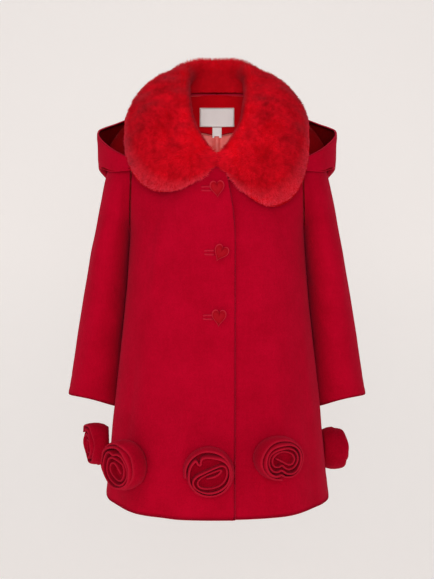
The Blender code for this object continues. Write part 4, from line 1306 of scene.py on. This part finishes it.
def pile_depth(stations, across):
    """How deep the fur is over the collar's fine grid."""
    full = max(row.fur for row in COLLAR_PILE)
    way = np.linspace(-1.0, 1.0, stations)
    share = 1.0 - np.abs(way)
    along_neck = np.array([read(COLLAR_PILE, place).fur for place in share])
    slim = np.where(way > 0.0, np.interp(share, *SLIM_LEFT), np.interp(share, *SLIM))
    depth = np.array([read(FUR_PROFILE, j / (across - 1)).full for j in range(across)])
    stand = np.interp(np.linspace(0.0, 1.0, across), *STAND_ACROSS)
    lobes = np.interp(np.linspace(0.0, 1.0, across), *LOBES_ACROSS)
    lobes = 1.0 - np.outer(1.0 - slim, lobes)
    front = 1.0 - FRONT_STAND_SLIM * np.outer(np.interp(share, *FRONT_STAND), stand)
    return np.minimum(np.outer(along_neck, depth) * lobes * front, full)


def spread_over(grid, count, first, last, dice):
    """Even random places on a part of a grid, as fractional rows and columns."""
    rows, columns = grid.shape[:2]
    side_a = np.linalg.norm(np.diff(grid, axis=0), axis=2)[:, :-1]
    side_b = np.linalg.norm(np.diff(grid, axis=1), axis=2)[:-1]
    area = side_a * side_b
    cells = np.arange(rows - 1)
    area[(cells < first * (rows - 1)) | (cells >= last * (rows - 1))] = 0.0
    chosen = dice.choice(area.size, count, p=(area / area.sum()).ravel())
    i, j = np.divmod(chosen, columns - 1)
    return i + dice.random(count), j + dice.random(count)


def sampled(field, i, j):
    """A grid's values at fractional rows and columns."""
    low_i = np.minimum(i.astype(int), field.shape[0] - 2)
    low_j = np.minimum(j.astype(int), field.shape[1] - 2)
    f, g = i - low_i, j - low_j
    if field.ndim == 3:
        f, g = f[:, None], g[:, None]
    top = field[low_i, low_j] * (1 - g) + field[low_i, low_j + 1] * g
    foot = field[low_i + 1, low_j] * (1 - g) + field[low_i + 1, low_j + 1] * g
    return top * (1 - f) + foot * f


def hair_piece(spec, grid, normal, depth, look, dice):
    """Slender cones that lean towards the collar's outer edge, short inside its stand."""
    count = spec.count
    last = grid.shape[0] - 1
    i, j = spread_over(grid, count, spec.first, spec.last, dice)
    root, up, deep = sampled(grid, i, j), unit(sampled(normal, i, j)), sampled(depth, i, j)[:, None]
    comb = unit(sampled(unit(np.gradient(grid, axis=1)), i, j))
    along = unit(sampled(unit(np.gradient(grid, axis=0)), i, j))
    share = j / (grid.shape[1] - 1)
    inside = np.clip((0.42 - share) / 0.12, 0.0, 1.0)[:, None]
    roll = np.exp(-((share - 0.42) / 0.10) ** 2)[:, None]
    edge = np.clip((share - 0.82) / 0.18, 0.0, 1.0)[:, None]
    end = np.clip(1.0 - np.minimum(i, last - i) / END_ROWS, 0.0, 1.0)[:, None]
    off_end = np.where(i < last / 2, -1.0, 1.0)[:, None]
    from_end = (1.0 - np.abs(2.0 * i / last - 1.0))[:, None]
    side = np.interp(from_end, (0.22, 0.36, 0.70, 0.85), (0.0, 1.0, 1.0, 0.0))
    crown = roll * np.clip((from_end - 0.70) / 0.15, 0.0, 1.0)
    spin = (
        np.sin(root[:, :1] / 9.0 + 2.0 * np.sin(root[:, 2:] / 15.0))
        + 0.8 * np.sin(root[:, 2:] / 6.0 + root[:, 1:2] / 8.0)
    )
    lump = np.sin(root[:, :1] / 4.1 + 1.5 * spin) * np.sin(root[:, 2:] / 4.7 + root[:, 1:2] / 5.3)
    lobe = end * (1.0 - inside)
    rise = unit(
        up * (1.0 - 0.5 * edge - 0.5 * lobe) + comb * (0.42 + 0.5 * edge) * (1.0 - 0.6 * lobe)
        + along * 0.26 * spin + along * off_end * 1.3 * lobe
        + dice.normal(0.0, 0.20, (count, 3)) * (1.0 - 0.6 * crown)
    )
    stand = lerp(HAIR_ROOT, SHORT_ROOT, inside)
    length = (deep * (HAIR_REACH - stand) + 1.8 - 0.9 * inside - 0.9 * roll + 7.5 * lobe) * 1.15
    length = length * lerp(0.74 + 0.44 * dice.random((count, 1)), 0.84, 0.8 * crown)
    length = length * (1.0 + 0.14 * lump * (1.0 - crown))
    root = root + up * deep * stand - comb * (FRINGE_INSET + SIDE_INSET * side) * edge
    tip = root + rise * length
    tuft = np.floor(tip / TUFT_SPACING + 0.35 * np.sin(tip[:, [1, 2, 0]] / 6.0)) + 0.5
    gathered = tuft * TUFT_SPACING + 1.6 * np.sin(tuft * 12.9898 + tuft[:, [2, 0, 1]] * 78.233)
    pull = (0.18 + 0.20 * edge) * dice.random((count, 1)) * np.minimum(1.0, length / 8.0)
    pull = pull * (1.0 - crown)
    tip = tip + (gathered - tip) * pull
    hair_way = unit(tip - root)
    first_side = unit(np.cross(hair_way, dice.normal(0.0, 1.0, (count, 3))))
    second_side = np.cross(hair_way, first_side)
    radius = HAIR_WIDTH / 2 * (0.7 + 0.6 * dice.random((count, 1)))
    sides = [
        first_side * math.cos(turn) + second_side * math.sin(turn)
        for turn in (0.0, 2.0 * math.pi / 3.0, 4.0 * math.pi / 3.0)
    ]
    points = np.stack([root + side * radius for side in sides] + [tip], 1).reshape(-1, 3)
    corners = np.arange(count)[:, None] * 4 + [0, 1, 3, 1, 2, 3, 2, 0, 3]
    mesh = bpy.data.meshes.new(spec.name)
    mesh.vertices.add(len(points))
    mesh.vertices.foreach_set("co", (points * MM).astype(np.float32).ravel())
    mesh.loops.add(corners.size)
    mesh.loops.foreach_set("vertex_index", corners.ravel().astype(np.int32))
    mesh.polygons.add(3 * count)
    mesh.polygons.foreach_set("loop_start", np.arange(0, corners.size, 3, dtype=np.int32))
    mesh.materials.append(look)
    mesh.update(calc_edges=True)
    mesh.validate()
    mesh.shade_smooth()
    # Inside the stand calm is low: calmer patches, and painted shade on its hairs
    calm = 1.0 - 0.8 * inside
    swell = unit(up + (0.34 * comb * lump + 0.24 * along * spin + 0.25 * hair_way) * calm)
    soft = [unit(swell * 0.7 + side * 0.5) for side in sides] + [swell]
    mesh.normals_split_custom_set_from_vertices(np.stack(soft, 1).reshape(-1, 3).tolist())
    made = bpy.data.objects.new(spec.name, mesh)
    bpy.context.scene.collection.objects.link(made)
    # How much painted pink sheen the hairs near the outer edge get at their tips
    rim_sheen = np.clip((share - RIM_SHEEN_START) / (1.0 - RIM_SHEEN_START), 0.0, 1.0)
    paint(made, "tip", np.tile([0.0, 0.0, 0.0, 1.0], count))
    paint(made, "hair", np.repeat(dice.random(count), 4))
    paint(made, "calm", np.repeat(calm[:, 0], 4))
    paint(made, "rim_sheen", np.repeat(rim_sheen, 4))
    return goes_along(made)


def inside_grid(rows, columns, inset):
    """The back's yoke moved in: the cloths that show inside the neck."""
    def here(row, column):
        up = yoke_up(row)
        across = 2.0 * column / BACK_COLUMNS
        step = 0.01
        along = back_point(across + step, up) - back_point(across - step, up)
        rise = back_point(across, up) - back_point(across, up - step)
        return back_point(across, up) - rise.cross(along).normalized() * inset
    low, high = rows
    made = [[here(row, column) for column in range(-columns, columns + 1)] for row in range(low, high)]
    made.append([here(high - 0.02, column) for column in range(-columns, columns + 1)])
    return made


def pleated(grid):
    """The lining's centre pleat and the creases that pull from it."""
    x, z = grid[..., 0], grid[..., 2]
    height = -3.0 * np.exp(-(x / 2.2) ** 2) + 1.5 * np.exp(-((x - 5.0) / 3.4) ** 2)
    height += 1.1 * np.exp(-((x + 7.0 + 0.25 * (z + 60.0)) / 3.0) ** 2)
    height -= 0.9 * np.exp(-((x - 14.0 - 0.3 * (z + 60.0)) / 3.6) ** 2)
    height += 0.6 * np.sin(x / 6.0 + z / 9.0)
    return height


def label_grid(width, top_z, bottom_z, inset, rows, columns):
    def surface_y(z):
        low, high = 1.0, 2.0
        for _ in range(30):
            middle = (low + high) / 2
            if back_point(0.001, middle).z < z:
                low = middle
            else:
                high = middle
        return back_point(0.001, low).y
    made = []
    for i in range(rows + 1):
        z = lerp(bottom_z, top_z, i / rows)
        y = surface_y(z)
        row = []
        for j in range(columns + 1):
            x = width * (j / columns - 0.5)
            row.append(Vector((x, y - inset - 0.006 * x * x, z)))
        made.append(row)
    return np.array(made)


# Buttons, buttonholes and roses

def heart(steps):
    points = []
    for i in range(steps):
        t = -2.0 * math.pi * (i + 0.5) / steps
        x = math.sin(t) ** 3
        y = (13 * math.cos(t) - 5 * math.cos(2 * t) - 2 * math.cos(3 * t) - math.cos(4 * t)) / 16
        points.append((x / 2, (y + 0.16) / 1.84))
    return np.array(points)


def front_place(x, z, tree):
    """Where a line from the front meets the coat, and the way its cloth looks there."""
    place, normal, _, _ = tree.ray_cast(Vector((x, -200.0, z)) * MM, Vector((0.0, 1.0, 0.0)))
    return np.array(place) / MM, np.array(normal)


def heart_button(spec, look, tree):
    outline = heart(HEART_STEPS_FINE)
    points, rim = [], []
    for k, ring in enumerate(HEART_FORM):
        for x, z in outline:
            points.append((x * HEART_WIDTH * ring.share, -ring.height, z * HEART_HEIGHT * ring.share))
            rim.append(HEART_RIM.get(k, 0.0))
    index = np.arange(len(points)).reshape(len(HEART_FORM), HEART_STEPS_FINE)
    faces = grid_faces(index, True, False).tolist()
    for ring, height, reverse in ((index[0], HEART_FORM[0].height, True), (index[-1], HEART_FORM[-1].height, False)):
        points.append((0.0, -height, 0.0))
        rim.append(0.0)
        for j in range(HEART_STEPS_FINE):
            corner = [int(ring[j]), int(ring[(j + 1) % HEART_STEPS_FINE]), len(points) - 1]
            faces.append(corner[::-1] if reverse else corner)
    piece = mesh_of(spec.name + "_heart", points, faces, [look])
    paint(piece, "rim", rim)
    place, normal = front_place(spec.x, spec.z, tree)
    piece.location = Vector((place + normal * 0.4) * MM)
    piece.rotation_euler = (math.asin(-normal[2]), math.radians(spec.turn), 0.0)
    return stands_for(piece, spec.name)


def buttonhole(spec, look, tree):
    """Two welts that lie side by side from under the button, closed at their far ends."""
    name = spec.name.replace("button", "buttonhole")
    points, faces = [], []
    sides, steps = 10, 12
    for offset in (-0.5, 0.5):
        start = len(points)
        for i in range(steps + 1):
            share = i / steps
            x = spec.x - 7.5 - WELT_LENGTH * share
            z = spec.z + WELT_RISE + offset * WELT_SPACING * (1.0 - 0.25 * share ** 6)
            place, normal = front_place(x, z, tree)
            radius = WELT_RADIUS * (0.35 if i in (0, steps) else 1.0) * (1.0 + 0.08 * math.sin(9.0 * share))
            for k in range(sides):
                angle = 2.0 * math.pi * k / sides
                points.append((
                    place[0], place[1] - 0.25 * radius - radius * math.sin(angle),
                    place[2] + radius * math.cos(angle),
                ))
        index = np.arange(start, len(points)).reshape(steps + 1, sides)
        faces += grid_faces(index, True, False).tolist()
        faces += [index[0][::-1].tolist(), index[-1].tolist()]
    piece = mesh_of(name, points, faces, [look])
    # The welts are painted paler all over: painted highlight on the raised welts
    paint(piece, "edge", np.full(len(points), 0.55))
    return goes_along(piece)


def seat_height(matrix, radius, tree):
    """How high the body stands under a disc, along the disc's own axis from its middle."""
    axis = matrix.to_3x3() @ Vector((0.0, 0.0, 1.0))
    reach = 80.0 * MM
    heights = []
    for share in (0.0, 0.5, 1.0):
        for step in range(16):
            angle = 2.0 * math.pi * step / 16
            place = Vector((radius * share * math.cos(angle), radius * share * math.sin(angle), 0.0))
            start = matrix @ (place * MM) + axis * reach
            _, _, _, far = tree.ray_cast(start, -axis, 2.0 * reach)
            if far is not None:
                heights.append(reach - far)
    return max(heights)


def strip_path(spec):
    """The middle of a rose's rolled strip over its face, from the inner end."""
    if spec.name in PATHS:
        return between(np.array(PATHS[spec.name]), PATH_STEPS)
    share = np.linspace(0.0, 1.0, int(spec.turns * SPIRAL_POINTS * PATH_STEPS) + 1)
    angle = 2.0 * math.pi * spec.turns * share + math.radians(spec.spin)
    radius = lerp(ROSE_CORE, ROSE_RADIUS - ROSE_WALL / 2, share ** 0.9)
    radius = radius + 0.9 * np.sin(3.0 * angle + 2.0 * share) * (1.0 - share)
    radius = radius - 2.8 * np.clip((share - 0.93) / 0.07, 0.0, 1.0)
    return np.stack([radius * np.cos(angle), spec.squash * radius * np.sin(angle)], 1)


def rose_matrix(spec):
    """Stands a rose's face plane, right and up, at its place, looking out from the body."""
    angle, rise = math.radians(spec.look + LEAN_ROUND[spec.name]), math.radians(LEAN_UP)
    level = Vector((math.sin(angle), -math.cos(angle), 0.0))
    right = Vector((math.cos(angle), math.sin(angle), 0.0))
    out = level * math.cos(rise) + Vector((0.0, 0.0, math.sin(rise)))
    turned = Matrix((right, out.cross(right), out)).transposed().to_4x4()
    return Matrix.Translation(Vector((spec.x, spec.y, spec.z)) * MM) @ turned, out


def rose(spec, look, tree):
    """A doubled felt strip rolled on itself, open at its face, over a felt filling."""
    path = strip_path(spec)
    step = np.linalg.norm(np.diff(path, axis=0), axis=1)
    run = np.concatenate([[0.0], np.cumsum(step)])[:, None]
    left = run[-1] - run
    way = unit(np.gradient(path, axis=0))
    off = np.stack([way[:, 1], -way[:, 0]], 1)[:, None]
    across = np.array([row.across for row in STRIP])[None, :, None]
    level = np.array([row.level for row in STRIP])[None]
    barrel = np.interp(level, BARREL_LEVELS, BARREL_REACHES)[..., None]
    wall = ROSE_EDGE * (1.0 + 0.12 * np.sin(run / 8.0))[..., None]
    flat = path[:, None] * barrel + off * wall * across
    height = ROSE_HEIGHT - CUP * (1.0 - run / run[-1]) ** 1.4
    height = height - LAST_TURN_DROP * np.clip((LAST_TURN - left) / 14.0, 0.0, 1.0)
    height = height + 0.8 * np.sin(run / 11.0) + 0.6 * np.sin(run / 5.3 + 1.0)
    height = height + FACE_SLOPE[spec.name] * path[:, :1] / ROSE_RADIUS
    grid = np.concatenate([flat, (height * level)[..., None]], 2)
    index = np.arange(grid.shape[0] * grid.shape[1]).reshape(grid.shape[:2])
    faces = grid_faces(index, False, True).tolist()
    faces += grid_faces(np.stack([index[:, 0], index[:, -1]], 1), False, False).tolist()
    faces += [index[0].tolist(), index[-1][::-1].tolist()]
    edge = np.broadcast_to(np.array([row.edge for row in STRIP])[None], index.shape)
    turn = np.linspace(0.0, 2.0 * math.pi, 40, endpoint=False)
    filling = np.array([
        np.stack([ring.reach * np.cos(turn), spec.squash * ring.reach * np.sin(turn),
                  np.full(40, ring.height)], 1)
        for ring in FILLING
    ])
    ring_index = index.size + np.arange(filling.size // 3).reshape(filling.shape[:2])
    faces += grid_faces(ring_index, True, False).tolist()
    faces += [ring_index[0][::-1].tolist(), ring_index[-1].tolist()]
    points = np.concatenate([grid.reshape(-1, 3), filling.reshape(-1, 3)])
    piece = mesh_of(spec.name + "_roll", points, faces, [look])
    # The strip's cut top gets painted highlight; the filling gets none
    paint(piece, "edge", np.concatenate([edge.ravel() * 0.32, np.zeros(filling.size // 3)]))
    matrix, out = rose_matrix(spec)
    seat = seat_height(matrix, ROSE_BASE_RADIUS, tree) + SEAM * MM
    piece.matrix_world = Matrix.Translation(out * seat) @ matrix
    stands_for(piece, spec.name)


# The coat put together

def body_and_hood():
    """The coarse sheets, each with its closed and flip, as the solids were made from."""
    coarse = {
        "front_right": (front_coarse(-1), False, True),
        "front_left": (front_coarse(1), False, False),
        "back": (back_coarse(), False, True),
        "sleeve_right": (sleeve_coarse(-1), True, False),
        "sleeve_left": (sleeve_coarse(1), True, True),
    }
    body_tree = tree_over(coarse.values())
    coarse["hood_right"] = (hood_coarse(-1, body_tree), False, False)
    coarse["hood_left"] = (hood_coarse(1, body_tree), False, True)
    return coarse


def sew_body(coarse, felt, satin, hood_shade):
    """The felt panels, lined with satin, and the hood, whose deep red lining is painted dark as the shade inside it.
    """
    fine = {
        "front_right": creased_body(coarse["front_right"][0], True, 0),
        "front_left": creased_body(coarse["front_left"][0], False, 0),
        "back": creased_body(coarse["back"][0], True),
        "sleeve_right": creased_sleeve(coarse["sleeve_right"][0], False, SLEEVE_CREASES_RIGHT),
        "sleeve_left": creased_sleeve(coarse["sleeve_left"][0], True, SLEEVE_CREASES_LEFT),
        "hood_right": creased_hood(coarse["hood_right"][0], False),
        "hood_left": creased_hood(coarse["hood_left"][0], True),
    }
    for name, grid in fine.items():
        _, closed, flip = coarse[name]
        in_hood = name.startswith("hood")
        looks = [felt, hood_shade] if in_hood else [felt, satin]
        wall = HOOD_WALL if in_hood else FELT
        piece = cloth(name + "_cloth", grid, wall, looks, closed, flip, RIM_HIGHLIGHT)
        stands_for(piece, name)
    return {name: (fine[name], *coarse[name][1:]) for name in fine}


def sew_collar(coarse):
    """The collar's backing and dense fur as one thick sheet, and the hairs that stand on it."""
    rows = collar_coarse(tree_over(coarse.values()))
    grid = finer(rows, 5, 6)
    normal = outward(grid, False, True)
    depth = pile_depth(*grid.shape[:2])
    core = np.maximum(depth * FUR_CORE, 1.6)
    i, j = np.indices(depth.shape)
    uneven = 1.0 + 0.05 * np.sin(i / 2.1 + np.sin(j / 3.0)) * np.sin(j / 2.3)
    core = core * uneven
    piece = cloth("collar_cloth", grid + normal * core[..., None], core, [fur_core_look()] * 2, False, True)
    stands_for(piece, "collar")
    hairs = fur_look()
    dice = np.random.default_rng(7)
    pieces = [hair_piece(spec, grid, normal, depth, hairs, dice) for spec in FUR_PIECES]


def sew_neck(plush, satin, woven):
    """What shows inside the neck: the facing, the lining with its pleat, the label and its tab."""
    inset = FELT + INSIDE_GAP
    facing = finer(inside_grid(FACING_ROWS, FACING_COLUMNS, inset), 8, 8)
    piece = cloth("neck_facing_cloth", facing, FACING_WALL, [plush, plush], False, True)
    stands_for(piece, "neck_facing")
    lining = finer(inside_grid(LINING_ROWS, LINING_COLUMNS, inset), 14, 12)
    lining = moved_out(lining, False, True, -2.2 + 1.3 * pleated(lining))
    piece = cloth("back_lining_cloth", lining, LINING, [satin, satin], False, True)
    stands_for(piece, "back_lining")
    inset += FACING_WALL + LABEL_LIFT
    for name, width, top_z, bottom_z in (
        ("label", LABEL_WIDTH, LABEL_TOP_Z, LABEL_BOTTOM_Z),
        ("size_tab", TAB_WIDTH, LABEL_BOTTOM_Z - SEAM, TAB_BOTTOM_Z),
    ):
        grid = label_grid(width, top_z, bottom_z, inset, 20, 36)
        x, z = grid[..., 0], grid[..., 2]
        grid[..., 1] += 0.35 * np.sin(x / 7.0 + 0.6) * np.sin(z / 9.0)
        if name == "label":
            off_side = np.minimum(width / 2 - np.abs(x), np.minimum(top_z - z, z - bottom_z))
            grid[..., 1] += 0.3 * np.exp(-((off_side - 2.6) / 0.7) ** 2)
        piece = cloth(name + "_cloth", grid, LABEL_WALL, [woven, woven], False, True)
        stands_for(piece, name)


def trim(fine, felt, rose_felt):
    """The buttons, buttonholes and roses, set on the finished fronts and sides."""
    tree = tree_over(fine.values())
    velvet = button_look()
    for spec in BUTTONS:
        heart_button(spec, velvet, tree)
        buttonhole(spec, felt, tree)
    for spec in ROSES:
        rose(spec, rose_felt, tree)


def camera():
    """Level with the chest, a little above, as the picture was taken."""
    lens = bpy.data.cameras.new("camera")
    lens.sensor_fit = "VERTICAL"
    lens.sensor_height = 24.0
    lens.lens = 24.0 * FOCAL_PIXELS / PICTURE_HEIGHT
    lens.clip_end = 60.0
    holder = bpy.data.objects.new("camera", lens)
    bpy.context.scene.collection.objects.link(holder)
    rise = math.radians(CAMERA_RISE)
    back = Vector((0.0, -math.cos(rise), math.sin(rise)))
    holder.location = Vector((0.0, 0.0, AIM_Z)) + back * CAMERA_DISTANCE
    holder.rotation_euler = (-back).to_track_quat("-Z", "Y").to_euler()
    bpy.context.scene.camera = holder


def studio():
    """A pale floor that sweeps up into a wall, and broad soft light from the front and above."""
    profile = [(-8000.0, FLOOR_Z)]
    for step in range(13):
        angle = math.radians(7.5 * step)
        profile.append((
            WALL_Y - SWEEP + SWEEP * math.sin(angle), FLOOR_Z + SWEEP - SWEEP * math.cos(angle),
        ))
    profile.append((WALL_Y, 6000.0))
    grid = np.array([[(x, y, z) for x in (-9000.0, 0.0, 9000.0)] for y, z in profile])
    index = np.arange(len(profile) * 3).reshape(len(profile), 3)
    sweep = mesh_of("studio_sweep", grid.reshape(-1, 3), grid_faces(index, False, False).tolist(), [stage_look()])
    for name, energy, width, place, colour in LAMPS:
        light = bpy.data.lights.new(name, "AREA")
        light.shape = "DISK"
        light.size = width
        light.energy = energy
        light.color = colour
        lamp = bpy.data.objects.new(name, light)
        bpy.context.scene.collection.objects.link(lamp)
        lamp.location = place
        aim = Vector((0.0, 0.0, AIM_Z)) - lamp.location
        lamp.rotation_euler = aim.to_track_quat("-Z", "Y").to_euler()
    spot = bpy.data.lights.new("neck spot", "SPOT")
    spot.energy = SPOT_POWER
    spot.spot_size = math.radians(SPOT_DEGREES)
    spot.spot_blend = 1.0
    spot.shadow_soft_size = SPOT_RADIUS
    lamp = bpy.data.objects.new("neck spot", spot)
    bpy.context.scene.collection.objects.link(lamp)
    lamp.location = SPOT_PLACE
    lamp.rotation_euler = (Vector(SPOT_AIM) - lamp.location).to_track_quat("-Z", "Y").to_euler()
    world = bpy.data.worlds.new("studio air")
    bpy.context.scene.world = world
    world.use_nodes = True
    air = world.node_tree.nodes["Background"]
    air.inputs["Color"].default_value = (1.0, 0.99, 0.985, 1.0)
    air.inputs["Strength"].default_value = AIR
    bpy.context.scene.view_settings.view_transform = "Standard"


camera()
studio()
sheets = body_and_hood()
red_felt = felt_look("red felt", RED_DEEP, RED)
# Painted shade: the roses get a darker copy of the red felt
shaded_rose_felt = felt_look("red felt of the roses", ROSE_RED_SHADED_DEEP, ROSE_RED_SHADED)
# The neck facing's plush, painted lighter: painted light inside the neck
neck_plush = felt_look("short plush of the neck", NECK_PLUSH_LIT_DEEP, NECK_PLUSH_LIT)
# Painted shade: the hood's inside is its red lining painted dark
hood_inside_shade = felt_look("deep red of the hood's inside", HOOD_SHADE_RED_DEEP, HOOD_SHADE_RED, 0.0)
coral_satin = satin_look()
sewn = sew_body(sheets, red_felt, coral_satin, hood_inside_shade)
sew_collar(sheets)
sew_neck(neck_plush, coral_satin, woven_look())
trim(sewn, red_felt, shaded_rose_felt)
